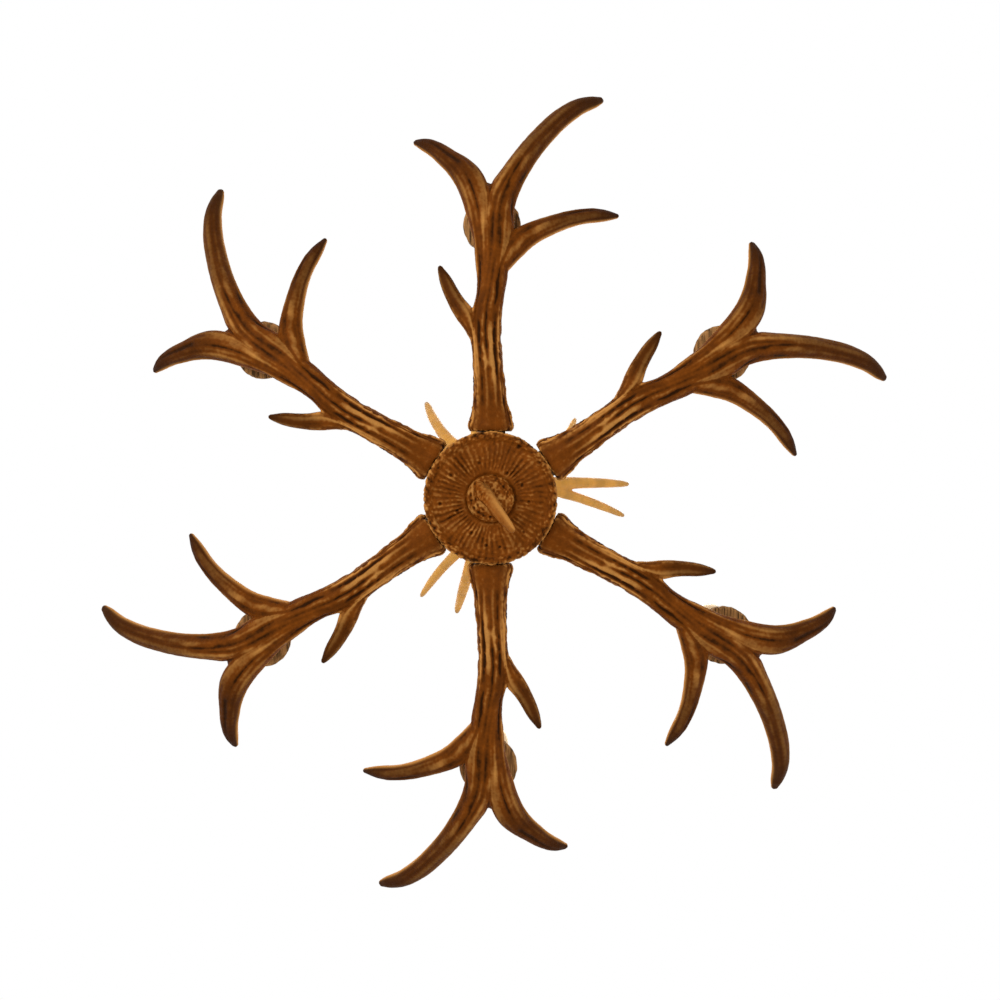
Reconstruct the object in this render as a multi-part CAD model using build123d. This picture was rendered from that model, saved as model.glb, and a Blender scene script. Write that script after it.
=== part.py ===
from build123d import *
from math import cos, pi, sin
import os

# An antler chandelier that hangs from a ceiling box on a short chain. All sizes are in millimetres.
# The origin is the centre of the ceiling plane and +Z points up, so the whole object lies below zero.
# Looking straight up at it with +X to the right, +Y points down the page.

# Clearances
gap = 0.3  # round a piece that moves, or stands free of its neighbour
thread_gap = 0.15  # round a rod, nipple or screw in its hole

# Ceiling bar, nipple and canopy
bar_length = 106
bar_width = 20
bar_thickness = 2.5
screw_spacing = 88.9  # slot centre to slot centre, for a round ceiling box
slot_length = 14
slot_width = 5.2
nipple_radius = 5
locknut_across_flats = 16
locknut_thickness = 4.5
canopy_radius = 57
canopy_depth = 26
canopy_wall = 1.5
canopy_lip = 4
canopy_steps = 6  # straight steps that its rounded side is turned in
canopy_flat_radius = 20
collar_radius = 10
collar_length = 14
collar_flange_radius = 14
collar_flange_thickness = 3
collar_bore_depth = 10

# Chain and loops
link_count = 5
wire = 6
wire_sides = 10
link_inside_width = 16
link_inside_length = 36

# Stem and column
stem_radius = 6.5
stem_wall = 1.2
stem_engagement = 8  # how far the stem screws up into the top loop
top_collar_radius = 10
top_collar_length = 12
column_length = 222
column_radius = 13
column_base_radius = 18
column_base_edge = 3  # how far the base's upper edge slopes in
column_ring_radius = 16.5
column_ring_height = 12
column_flare = 6  # height of the curve between the column and the ring at either end
column_waist = 1  # how much thinner the column is beside its middle ring
middle_ring_half = 5
middle_ring_reach = 12  # from the middle ring's centre to where the column is plain again
cap_radius = 17.5
cap_thickness = 9
cap_edge = 3
cap_top_radius = 11.5

# Hub
foot_reach = 60  # from the stem's axis to the face that an arm's foot seats on
foot_margin = 0.5  # from a foot's lowest point to the base disc, and from its top to the cover plate
hub_radius = 54
hub_wall = 7
pad_width = 26
pad_height = 28
plate_thickness = 4
plate_radius = 52
bolt_radius = 4
bolt_length = 36
bolt_head_across_flats = 13
bolt_head_thickness = 5.3
bolt_seat_radius = 9  # of the flat inside the drum that a bolt's head bears on
bolt_grip = 4  # spare depth of the blind hole beyond the bolt's end

# Arms, one mould. The arms aren't spaced quite evenly round the hub.
arm_directions = (-90, -31.6, 31.1, 90.8, 148.2, -147.5)
foot_width = 42
foot_depth = 40
cup_reach = 253  # from the stem's axis to a candle's axis
seat_cut = 4  # how deep the flat under a candle cup is cut into the beam
seat_radius = 10.5
nipple_hole_depth = 19

# The arm's oval sections: how far out from its foot, to the side, above the foot's centre, width, depth
beam_sections = (
    (13, 0, -2, 37.5, 35),
    (27, -1, -5, 31.5, 31),
    (42, -1.5, -8.5, 29, 28),
    (62, -3, -12, 27.5, 26.5),
    (85, -4.5, -13, 28, 26.5),
    (105, -4, -11, 28, 26),
    (122, -1, -8, 26, 26),
    (142, 1, -3.5, 29, 26.5),
    (164, 1, 2, 33, 27),
    (188, 2, 9, 37, 26),
    (208, 5.5, 16.5, 31.5, 25),
    (222, 10.5, 23, 28, 23.5),
    (234, 17, 29, 25, 22),
    (256, 30, 43, 22, 21),
    (278, 45.5, 63, 20, 19.5),
    (300.5, 65, 85, 18.3, 17.5),
    (316, 84, 105, 15.5, 15),
    (325.5, 104, 125, 9.5, 9),
)
fork_sections = (
    (160, 0, 1, 22, 22),
    (180, -3.5, 7, 27.5, 24),
    (200, -8, 14, 28.5, 24.5),
    (216, -13, 21, 28, 23.5),
    (237, -22.5, 32, 26.5, 22.5),
    (248.5, -32.5, 42, 22.5, 20.5),
    (257.5, -42.5, 52, 19.5, 18.5),
    (266, -52, 62, 17, 16.5),
    (272.5, -62, 72, 14, 14),
    (277.5, -73.5, 84, 8, 8),
)
trez_sections = (
    (142, -2, -5, 20, 21),
    (155, 7.5, 0, 24, 23),
    (166, 17.5, 6, 24, 23),
    (177, 28.5, 13, 23, 21.5),
    (183.5, 38.5, 18, 20.5, 20),
    (190.5, 53, 27, 17.5, 17.5),
    (197.5, 69, 38, 15.5, 15.5),
    (202.5, 85.5, 50, 14.5, 14),
    (205, 102.5, 63, 12.5, 12),
    (206, 118, 76, 7.5, 7.5),
)
brow_sections = (
    (69, -3.5, -12, 14.5, 18),
    (82.5, -9, -11.5, 17, 19),
    (94.5, -15.5, -11, 18, 19),
    (105.5, -23, -10, 18, 18),
    (115.5, -30, -7.5, 16, 16.5),
    (126, -36, -4.5, 14, 15),
    (136.5, -41, -1, 12, 13),
    (149, -46.5, 4.5, 7.5, 7.5),
)
ridge_count = 10  # ridges that run along a horn
ridge_stand = 1.03  # how far the ridges stand out, as a share of the oval's radius
tip_rounding = ((0.6, 0.82), (0.95, 0.4))  # forward in tip radii, and the section's share there

# Base disc, boss and finial
disc_radius = 60.6
disc_rim = 4.7  # radius of the rounded rim
disc_dish = 3.5  # how far the grooved field stands below the rim's middle
disc_flat_radius = 46  # where the field starts to slope up to the rim
groove_count = 48  # straight grooves that run outwards over the field
groove_depth = 1.3
groove_width = 2.4  # at the field's surface
groove_start = 27
groove_end = 51
boss_radius = 21.3
boss_thickness = 11
boss_edge_width = 3
boss_edge_height = 2
boss_floor = 4
ring_groove_width = 2.5
ring_groove_depth = 1.6
nut_across_flats = 22
nut_thickness = 5
peg_radius = 3
peg_length = 3.6
finial_root = (-6, -6)  # where the finial's foot sits on the boss
# The finial's round sections: X, Y, below the boss, diameter
finial_sections = (
    (-4, -3.5, 6, 15.5),
    (0, 1, 16, 12.5),
    (6, 8.5, 28, 10.8),
    (13, 17, 39, 9),
    (19.5, 24.5, 46, 6.8),
)
finial_foot_diameter = 19
finial_foot_share = 0.8  # its foot's other width, as a share

# Crown antlers: the direction of each, then its tines as the tip's direction, reach and height above the
# plate, and the direction of the bend on the way there
crown_foot_reach = 33
crown_screw_radius = 2.5
crown_screw_depth = 12
crown_screw_head_radius = 4.8
crown_screw_head_thickness = 3
crown_antlers = (
    (-12, (-2.6, 135, 176, -7), ((11.5, 134, 192, -2), (-41.5, 109, 184, -31))),
    (108, (107.7, 131.5, 186, 108), ((125, 132, 176, 126), (88, 112, 196, 95))),
    (-122, (-128.8, 113.5, 186, -134.5), ((-153, 95, 176, -143), (-92, 110, 196, -102))),
)
# The stem of each, as reach, height and diameter
crown_stem_sections = ((crown_foot_reach, 0, 18), (34, 12, 16.5), (37, 26, 16), (41, 38, 15.5))
crown_side_roots = ((39, 34), (36, 22))  # reach and height where the side tines leave the beam
crown_bend = (78, 84)  # reach and height that a tine curves towards
crown_beam_diameters = (15.5, 13, 11.2, 9.6, 6)
crown_tine_diameters = (8, 11, 10.2, 9, 5.6)

# Candles, each built on its seat
slice_radius = 27.2
slice_thickness = 8
cup_foot_radius = 9
cup_foot_height = 17
slice_edge = 1.8  # chamfer round its lower edge
cup_flare = 7  # height of the flare between the foot and the slice
cup_dish_radius = 21
cup_dish_depth = 2.5
candle_nipple_radius = 4.8
candle_nipple_top = 27
sleeve_radius = 12.5
sleeve_wall = 1.4
sleeve_length = 94
holder_radius = 9.8
holder_bore_radius = 6.6
holder_length = 44
holder_floor = 3
holder_drop = 4  # from the sleeve's top down to the lampholder's
holder_ring_thickness = 4
bracket_width = 8
bracket_thickness = 1.6
bulb_base_radius = 6
bulb_base_length = 19
contact_radius = 3
contact_height = 2
bulb_neck_radius = 6.8
bulb_radius = 17.5
bulb_length = 92
bulb_belly = 30  # height of the widest place above the bulb's neck
shoulder_share = 0.6  # of the way up to the widest place
shoulder_width = 0.82  # as a share of the widest place
taper_share = 0.6  # of the way from the widest place up to the tip
taper_width = 0.56
glass_wall = 1.2
glass_tip = 4  # thickness of the glass at its tip

# Worked-out values
bow_radius = (link_inside_width + wire) / 2
link_pitch = link_inside_length - gap
loop_centre = -canopy_depth - collar_length - bow_radius
first_pivot = loop_centre - bow_radius
last_pivot = first_pivot - link_count * link_pitch
top_loop_centre = last_pivot + wire + gap - bow_radius
column_top = top_loop_centre - bow_radius - top_collar_length - cap_thickness
plate_top = column_top - column_length
hub_top = plate_top - plate_thickness
hub_height = foot_depth + 2 * foot_margin
disc_top = hub_top - hub_height
foot_height = disc_top + hub_height / 2
disc_middle = disc_top - disc_rim
field_low = disc_middle - disc_dish
boss_seat = field_low + ring_groove_depth
boss_bottom = boss_seat - boss_thickness
nut_pocket_radius = nut_across_flats / 3**0.5 + gap
cup_out = cup_reach - foot_reach
up = Vector(0, 0, 1)
outward = Vector(1, 0, 0)


def turned(*corners):
    """A piece turned about the Z axis from the (radius, height) corners of its half section."""
    return revolve(make_face(Plane.XZ * Polyline(*corners, close=True)), Axis.Z)


def tube(outer, inner, low, high):
    """A plain tube on the Z axis."""
    return turned((inner, low), (outer, low), (outer, high), (inner, high))


def rod(radius, low, high):
    """A plain rod on the Z axis."""
    return Pos(0, 0, (low + high) / 2) * Cylinder(radius, high - low)


def hexagon(across_flats, low, high):
    """A six-sided nut or bolt head on the Z axis."""
    outline = RegularPolygon(across_flats / 2, 6, major_radius=False)
    return extrude(Pos(0, 0, low) * outline, high - low)


def oval(centre, direction, hint, width, depth):
    """One ridged oval section of a horn, square to its path, with its width square to the hint."""
    across = hint.cross(direction).normalized()
    plane = Plane(origin=centre, x_dir=across, z_dir=direction)
    corners = []
    for ridge in range(ridge_count):
        angle = 2 * pi * (ridge + 0.5) / ridge_count
        corners.append((ridge_stand * width / 2 * cos(angle), ridge_stand * depth / 2 * sin(angle)))
    return plane * make_face(Polyline(*corners, close=True))


def horn(stations, hint, start=None):
    """A tapering horn lofted through (x, y, z, width, depth) stations, with a rounded tip."""
    points = [Vector(*station[:3]) for station in stations]
    sections = []
    for number, point in enumerate(points):
        before = points[max(number - 1, 0)]
        after = points[min(number + 1, len(points) - 1)]
        direction = (after - before).normalized()
        if number == 0 and start is not None:
            direction = start
        sections.append(oval(point, direction, hint, *stations[number][3:]))
    width, depth = stations[-1][3:]
    for forward, share in tip_rounding:
        centre = points[-1] + direction * (forward * width / 2)
        sections.append(oval(centre, direction, hint, share * width, share * depth))
    return loft(sections, ruled=True)


def between(stations, out):
    """The height and depth of a horn's path, read between its stations at a distance out."""
    for inner, outer in zip(stations, stations[1:]):
        if inner[0] <= out <= outer[0]:
            share = (out - inner[0]) / (outer[0] - inner[0])
            height = inner[2] + share * (outer[2] - inner[2])
            depth = inner[4] + share * (outer[4] - inner[4])
            return height, depth
    raise ValueError("the candle stands off the beam")


beam_stations = ((0, 0, 0, foot_width, foot_depth),) + beam_sections
beam_height, beam_depth = between(beam_stations, cup_out)
seat_height = beam_height + beam_depth / 2 - seat_cut


def antler():
    """One arm, with its foot's face at the origin and its beam running out along X."""
    whole = horn(beam_stations, up, outward) + horn(fork_sections, up)
    whole = whole + horn(trez_sections, up) + horn(brow_sections, up)
    cup_seat = rod(seat_radius, seat_height, seat_height + beam_depth)
    nipple_hole = rod(candle_nipple_radius + thread_gap, seat_height - nipple_hole_depth, seat_height)
    bolt_end = bolt_length - (foot_reach - hub_radius + hub_wall) + bolt_grip
    bolt_hole = Rot(0, 90, 0) * rod(bolt_radius + thread_gap, 0, bolt_end)
    return whole - Pos(cup_out, 0, 0) * (cup_seat + nipple_hole) - bolt_hole


def round_arm(direction, piece):
    """Moves a piece from the arm's own frame to its place round the hub."""
    return Rot(0, 0, direction) * Pos(foot_reach, 0, foot_height) * piece


def on_seat(direction, piece):
    """Moves a candle's piece from its seat's own frame to its place on an arm."""
    return round_arm(direction, Pos(cup_out, 0, seat_height) * piece)


def arm_bolt():
    """A hexagon bolt along X, from inside the drum into an arm's foot."""
    under_head = hub_radius - hub_wall
    head = hexagon(bolt_head_across_flats, under_head - bolt_head_thickness, under_head)
    shank = rod(bolt_radius, under_head, under_head + bolt_length)
    return Rot(0, 90, 0) * (head + shank)


def hub_drum():
    """The hub's drum, with a round seat and a bolt hole for each arm."""
    drum = rod(hub_radius, disc_top, hub_top)
    for direction in arm_directions:
        pad = Box(foot_reach - hub_radius / 2, pad_width, pad_height)
        pad = Pos((foot_reach + hub_radius / 2) / 2, 0, foot_height) * pad
        drum = drum + Rot(0, 0, direction) * pad
    drum = drum - rod(hub_radius - hub_wall, disc_top, hub_top)
    for direction in arm_directions:
        hole = rod(bolt_radius + thread_gap, hub_radius / 2, foot_reach)
        hole = hole + rod(bolt_seat_radius, hub_radius / 2, hub_radius - hub_wall)
        drum = drum - Rot(0, 0, direction) * Pos(0, 0, foot_height) * Rot(0, 90, 0) * hole
    return drum


def cover_plate():
    """The hub's cover, with the stem's hole and a hole for each crown antler's screw."""
    plate = tube(plate_radius, stem_radius + thread_gap, hub_top, plate_top)
    for direction, main_tine, side_tines in crown_antlers:
        hole = Pos(crown_foot_reach, 0, 0) * rod(crown_screw_radius + thread_gap, hub_top, plate_top)
        plate = plate - Rot(0, 0, direction) * hole
    return plate


def crown_screw():
    """A pan-head screw up through the cover plate, on its own axis."""
    head = rod(crown_screw_head_radius, hub_top - crown_screw_head_thickness, hub_top)
    return head + rod(crown_screw_radius, hub_top, plate_top + crown_screw_depth)


def crown_tine(direction, root, diameters, turn, reach, height, bend_turn):
    """Stations of a tine that leaves its root and curves up and out to its tip."""
    start = Rot(0, 0, direction) * Pos(root[0], 0, root[1])
    bend = Rot(0, 0, bend_turn) * Pos(crown_bend[0], 0, crown_bend[1])
    end = Rot(0, 0, turn) * Pos(reach, 0, height)
    path = Bezier(start.position, bend.position, end.position)
    places = [path @ (number / (len(diameters) - 1)) for number in range(len(diameters))]
    return [(*place, size, size) for place, size in zip(places, diameters)]


def crown_antler(direction, main_tine, side_tines):
    """A small antler that stands on the cover plate, with its side tines let into its beam."""
    level = Vector(1, 0, 0).rotate(Axis.Z, direction)
    stations = []
    for reach, height, size in crown_stem_sections:
        place = (Rot(0, 0, direction) * Pos(reach, 0, height)).position
        stations.append((*place, size, size))
    root = crown_stem_sections[-1]
    stations += crown_tine(direction, root, crown_beam_diameters, *main_tine)[1:]
    whole = horn(stations, level, up)
    for root, tine in zip(crown_side_roots, side_tines):
        stations = crown_tine(direction, root, crown_tine_diameters, *tine)
        whole = whole + horn(stations, level)
    hole = rod(crown_screw_radius + thread_gap, 0, crown_screw_depth + gap)
    whole = whole - Rot(0, 0, direction) * Pos(crown_foot_reach, 0, 0) * hole
    return Pos(0, 0, plate_top) * whole


def base_disc():
    """The grooved disc under the hub, with a rounded rim and a ring groove round the boss."""
    rim_middle = disc_radius - disc_rim
    rim_low = (rim_middle, disc_middle - disc_rim)
    groove_edge = boss_radius + ring_groove_width
    bore = stem_radius + thread_gap
    outline = ThreePointArc((rim_middle, disc_top), (disc_radius, disc_middle), rim_low)
    outline = outline + Polyline(
        rim_low,
        (rim_middle - disc_rim, disc_middle - disc_dish / 3),
        (disc_flat_radius, field_low),
        (groove_edge, field_low),
        (groove_edge, boss_seat),
        (bore, boss_seat),
        (bore, disc_top),
        (rim_middle, disc_top),
    )
    disc = revolve(make_face(Plane.XZ * outline), Axis.Z)
    section = Polyline(
        (0, field_low + groove_depth),
        (-groove_width, field_low - groove_depth),
        (groove_width, field_low - groove_depth),
        close=True,
    )
    cutter = extrude(Plane.YZ * make_face(section), groove_end - groove_start)
    turn = 360 / groove_count
    cutters = [Rot(0, 0, turn * step) * Pos(groove_start, 0, 0) * cutter for step in range(groove_count)]
    return disc - cutters


def boss():
    """The round boss that hides the stem's nut, with a hole for the finial's peg."""
    body = turned(
        (0, boss_seat),
        (boss_radius, boss_seat),
        (boss_radius, boss_bottom + boss_edge_height),
        (boss_radius - boss_edge_width, boss_bottom),
        (0, boss_bottom),
    )
    pocket = rod(nut_pocket_radius, boss_bottom + boss_floor, boss_seat)
    peg_hole = Pos(*finial_root, 0) * rod(peg_radius + thread_gap, boss_bottom, boss_bottom + boss_floor)
    return body - pocket - peg_hole


def finial():
    """The short tine that stands out of the boss, seated flat on it with a peg."""
    level = Vector(1, 0, 0)
    stations = [(*finial_root, 0, finial_foot_diameter, finial_foot_diameter * finial_foot_share)]
    stations += [(x, y, -drop, size, size) for x, y, drop, size in finial_sections]
    tine = horn(stations, level, Vector(0, 0, -1))
    peg = Pos(*finial_root, 0) * rod(peg_radius, 0, peg_length)
    return Pos(0, 0, boss_bottom) * (tine + peg)


def bow(arc):
    """Wire bent round the Z axis, through an arc that starts at +X."""
    section = Plane.XZ * Pos(bow_radius, 0, 0) * RegularPolygon(wire / 2, wire_sides)
    return revolve(section, Axis.Z, arc)


def eye():
    """A round eye of wire, standing in the XZ plane."""
    return Rot(90, 0, 0) * bow(360)


def chain_link():
    """A long link in the YZ plane, hung from the origin, its upper bow over the wire above."""
    straight = link_inside_length - link_inside_width
    top = wire + gap - bow_radius
    upper_bow = Plane.YZ * bow(180)
    side = extrude(Pos(0, 0, top - straight) * RegularPolygon(wire / 2, wire_sides), straight)
    sides = Pos(0, bow_radius, 0) * side + Pos(0, -bow_radius, 0) * Rot(0, 0, 180) * side
    lower_bow = Pos(0, 0, top - straight) * Rot(180, 0, 0) * upper_bow
    return Pos(0, 0, top) * upper_bow + sides + lower_bow


def canopy():
    """The ceiling canopy: a dished cover with a nipple hole."""
    def dome(radius, depth):
        corners = [(0, -depth), (0, 0), (radius, 0)]
        for step in range(canopy_steps + 1):
            angle = pi / 2 * step / canopy_steps
            out = canopy_flat_radius + (radius - canopy_flat_radius) * cos(angle)
            corners.append((out, -canopy_lip - (depth - canopy_lip) * sin(angle)))
        return turned(*corners)

    shell = dome(canopy_radius, canopy_depth)
    inside = dome(canopy_radius - canopy_wall, canopy_depth - canopy_wall)
    return shell - inside - rod(nipple_radius + thread_gap, -canopy_depth, 0)


def crossbar():
    """The flat bar that screws to the ceiling box, with a slot near each end."""
    bar = Pos(0, 0, -bar_thickness / 2) * Box(bar_length, bar_width, bar_thickness)
    slot = extrude(Pos(0, 0, -bar_thickness) * SlotOverall(slot_length, slot_width), bar_thickness)
    for side in (-1, 1):
        bar = bar - Pos(side * screw_spacing / 2, 0, 0) * slot
    return bar - rod(nipple_radius + thread_gap, -bar_thickness, 0)


def canopy_loop():
    """The screw collar under the canopy, with the eye that carries the chain."""
    low = -canopy_depth - collar_length
    flange_low = -canopy_depth - collar_flange_thickness
    collar = rod(collar_radius, low, -canopy_depth)
    collar = collar + rod(collar_flange_radius, flange_low, -canopy_depth)
    collar = collar + Pos(0, 0, loop_centre) * eye()
    bore = rod(nipple_radius + thread_gap, -canopy_depth - collar_bore_depth, -canopy_depth)
    return collar - bore


def top_loop():
    """The loop that screws onto the stem's upper end and hangs on the last link."""
    low = column_top + cap_thickness
    collar = rod(top_collar_radius, low, low + top_collar_length)
    collar = collar + Pos(0, 0, top_loop_centre) * eye()
    return collar - rod(stem_radius + thread_gap, low, low + stem_engagement + gap)


def column():
    """The turned column round the stem."""
    low, high = plate_top, column_top
    neck = low + column_ring_height
    shoulder = high - column_ring_height
    middle = (low + high) / 2
    return turned(
        (stem_radius + thread_gap, low),
        (column_base_radius, low),
        (column_base_radius, neck - column_base_edge),
        (column_base_radius - column_base_edge, neck),
        (column_radius, neck + column_flare),
        (column_radius - column_waist, middle - middle_ring_reach),
        (column_ring_radius - column_waist, middle - middle_ring_half),
        (column_ring_radius, middle),
        (column_ring_radius - column_waist, middle + middle_ring_half),
        (column_radius - column_waist, middle + middle_ring_reach),
        (column_radius, shoulder - column_flare),
        (column_ring_radius, shoulder),
        (column_ring_radius, high),
        (stem_radius + thread_gap, high),
    )


def column_cap():
    """The metal cap between the column and the top loop."""
    low, high = column_top, column_top + cap_thickness
    return turned(
        (stem_radius + thread_gap, low),
        (cap_radius, low),
        (cap_radius, low + cap_edge),
        (cap_top_radius, high),
        (stem_radius + thread_gap, high),
    )


def candle_cup():
    """The cup on its seat: a turned foot under a round slice with a shallow dish."""
    low = cup_foot_height
    high = cup_foot_height + slice_thickness
    bore = candle_nipple_radius + thread_gap
    return turned(
        (bore, 0),
        (cup_foot_radius, 0),
        (cup_foot_radius, low - cup_flare),
        (cup_foot_radius + 4, low),
        (slice_radius - slice_edge, low),
        (slice_radius, low + slice_edge),
        (slice_radius, high),
        (cup_dish_radius, high),
        (cup_dish_radius, high - cup_dish_depth),
        (bore, high - cup_dish_depth),
    )


cup_floor = cup_foot_height + slice_thickness - cup_dish_depth
sleeve_top = cup_floor + sleeve_length
holder_top = sleeve_top - holder_drop


def candle_nipple():
    """The threaded tube that holds the cup and the lampholder on the arm."""
    return rod(candle_nipple_radius, gap - nipple_hole_depth, candle_nipple_top)


def candle_sleeve():
    """The candle tube over the lampholder."""
    return tube(sleeve_radius, sleeve_radius - sleeve_wall, cup_floor, sleeve_top)


def lampholder():
    """The lampholder, carried on a bracket from the nipple."""
    ring_top = cup_floor + holder_ring_thickness
    holder_low = holder_top - holder_length
    ring = tube(holder_radius, candle_nipple_radius + thread_gap, cup_floor, ring_top)
    cup = rod(holder_radius, holder_low, holder_top)
    cup = cup - rod(holder_bore_radius, holder_low + holder_floor, holder_top)
    leg = Box(bracket_thickness, bracket_width, holder_low - ring_top + 2 * holder_floor)
    leg_side = holder_radius - 1.5 - bracket_thickness / 2
    return ring + cup + Pos(leg_side, 0, (holder_low + ring_top) / 2) * leg


def bulb_base():
    """The bulb's screw base and the contact under it."""
    low = holder_top - bulb_base_length + 2
    base = rod(bulb_base_radius, low, low + bulb_base_length)
    return base + rod(contact_radius, low - contact_height, low)


def bulb_glass():
    """The flame-shaped envelope, one wall thick and closed at the neck."""
    low = holder_top + 2
    high = low + bulb_length
    belly = low + bulb_belly
    shoulder = low + shoulder_share * bulb_belly
    taper = belly + taper_share * (high - belly)
    outside = turned(
        (0, low),
        (bulb_neck_radius, low),
        (bulb_radius * shoulder_width, shoulder),
        (bulb_radius, belly),
        (bulb_radius * taper_width, taper),
        (0, high),
    )
    inside = turned(
        (0, low + glass_wall),
        (bulb_neck_radius - glass_wall, low + glass_wall),
        (bulb_radius - glass_wall, belly),
        (bulb_radius * taper_width - glass_wall, taper),
        (0, high - glass_tip),
    )
    return outside - inside


def write(name, *pieces):
    """Writes one node, which may be a group of separate solids."""
    solids = [solid for piece in pieces for solid in piece.solids()]
    node = solids[0] if len(solids) == 1 else Compound(children=solids)
    export_step(node, "parts/" + name + ".step")


os.makedirs("parts", exist_ok=True)

write("ceiling_crossbar", crossbar())
write("canopy_nipple", rod(nipple_radius, gap - canopy_depth - collar_bore_depth, 0))
locknut_low = -bar_thickness - locknut_thickness
locknut = hexagon(locknut_across_flats, locknut_low, -bar_thickness)
write("nipple_locknut", locknut - rod(nipple_radius + thread_gap, locknut_low, -bar_thickness))
write("canopy", canopy())
write("canopy_loop", canopy_loop())

for number in range(link_count):
    place = Pos(0, 0, first_pivot - number * link_pitch) * Rot(0, 0, 90 * (number % 2))
    write("chain_link_" + str(number + 1), place * chain_link())

write("top_loop", top_loop())
write("column_cap", column_cap())
write("column", column())
stem_low = boss_seat - nut_thickness - 1
stem_high = column_top + cap_thickness + stem_engagement
write("stem_tube", tube(stem_radius, stem_radius - stem_wall, stem_low, stem_high))
write("hub_cover_plate", cover_plate())
write("hub_drum", hub_drum())
bolts = [Rot(0, 0, direction) * Pos(0, 0, foot_height) * arm_bolt() for direction in arm_directions]
write("arm_bolts", *bolts)
write("base_disc", base_disc())
base_nut = hexagon(nut_across_flats, boss_seat - nut_thickness, boss_seat)
write("base_nut", base_nut - rod(stem_radius + thread_gap, boss_seat - nut_thickness, boss_seat))
write("base_boss", boss())
write("finial_tine", finial())

screws = []
for number, (direction, main_tine, side_tines) in enumerate(crown_antlers):
    write("crown_antler_" + str(number + 1), crown_antler(direction, main_tine, side_tines))
    screws.append(Rot(0, 0, direction) * Pos(crown_foot_reach, 0, 0) * crown_screw())
write("crown_screws", *screws)

arm = antler()
holders = []
nipples = []
for number, direction in enumerate(arm_directions):
    label = "_" + str(number + 1)
    write("antler_arm" + label, round_arm(direction, arm))
    write("candle_cup" + label, on_seat(direction, candle_cup()))
    write("candle_sleeve" + label, on_seat(direction, candle_sleeve()))
    write("bulb_base" + label, on_seat(direction, bulb_base()))
    write("bulb_glass" + label, on_seat(direction, bulb_glass()))
    holders.append(on_seat(direction, lampholder()))
    nipples.append(on_seat(direction, candle_nipple()))
write("lampholders", *holders)
write("candle_nipples", *nipples)

print("pivots", [round(first_pivot - number * link_pitch, 3) for number in range(link_count + 1)])
print("disc top", round(disc_top, 3), "foot height", round(foot_height, 3))
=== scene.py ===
from math import cos, pi, radians, sin, tau

import bmesh
import bpy
import numpy as np
from bpy.props import FloatProperty, FloatVectorProperty, PointerProperty
from mathutils import Matrix, Vector


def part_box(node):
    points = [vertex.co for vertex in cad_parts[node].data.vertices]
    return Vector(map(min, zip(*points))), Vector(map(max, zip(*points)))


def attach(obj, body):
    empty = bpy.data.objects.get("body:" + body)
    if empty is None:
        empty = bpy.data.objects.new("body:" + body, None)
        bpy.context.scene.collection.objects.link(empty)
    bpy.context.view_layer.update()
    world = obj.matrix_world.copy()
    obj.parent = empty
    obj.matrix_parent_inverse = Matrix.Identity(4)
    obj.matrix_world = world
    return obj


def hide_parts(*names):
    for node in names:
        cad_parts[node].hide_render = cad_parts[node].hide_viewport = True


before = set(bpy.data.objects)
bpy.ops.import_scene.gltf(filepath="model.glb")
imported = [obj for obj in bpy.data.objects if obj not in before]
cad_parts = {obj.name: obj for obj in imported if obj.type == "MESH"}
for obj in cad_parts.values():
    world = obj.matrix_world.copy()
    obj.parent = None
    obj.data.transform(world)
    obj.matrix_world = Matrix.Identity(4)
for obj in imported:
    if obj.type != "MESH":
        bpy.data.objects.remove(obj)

bl_info = {
    "name": "Antler chandelier",
    "version": (1, 0, 0),
    "blender": (4, 5, 0),
    "location": "View3D > Sidebar > Chandelier",
    "description": "Carves and finishes an antler chandelier round its fixed frame",
    "category": "Add Mesh",
}

mm = 0.001
up = Vector((0, 0, 1))
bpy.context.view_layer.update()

# Places read from the frame
hub_low, hub_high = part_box("hub_drum")
disc_low, disc_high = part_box("base_disc")
boss_low, boss_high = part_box("base_boss")
plate_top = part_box("hub_cover_plate")[1].z
seat_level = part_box("candle_cup_1")[0].z
cup_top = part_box("candle_cup_1")[1].z
foot_level = (hub_low.z + hub_high.z) / 2
disc_radius = (disc_high.x - disc_low.x) / 2
boss_radius = (boss_high.x - boss_low.x) / 2
# Heights in millimetres above a candle's seat
cup_floor = (cup_top - seat_level) / mm - 2.5
glass_low = (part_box("bulb_glass_1")[0].z - seat_level) / mm
glass_high = (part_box("bulb_glass_1")[1].z - seat_level) / mm

# The arms, in degrees round the hub; -90 points up the page in the view from below
arm_directions = (-90, -31.6, 31.1, 90.8, 148.2, -147.5)
foot_reach = 60 * mm  # from the stem to the face that a foot seats on
cup_out = 193 * mm  # from a foot's face to its candle's axis
seat_radius = 10.5 * mm
sleeve_length = 94  # in millimetres
section_spacing = 4 * mm  # between the rings that a horn is built from
horn_segments = 28

# Chain and eyes
link_wire = 6 * mm
link_bow = 11 * mm  # radius of a bow's middle line
eye_reach = link_bow + link_wire / 2
wire_segments = 16

# Grooves along the horns
fine_grain = 2.8 * mm
broad_grain = 8 * mm
grain_reach = 42 * mm
grain_stride = 2 * mm

groove_count = 58  # on the base disc
stem_bore = 6.7  # radius in millimetres, of the pieces that the stem passes through

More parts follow.
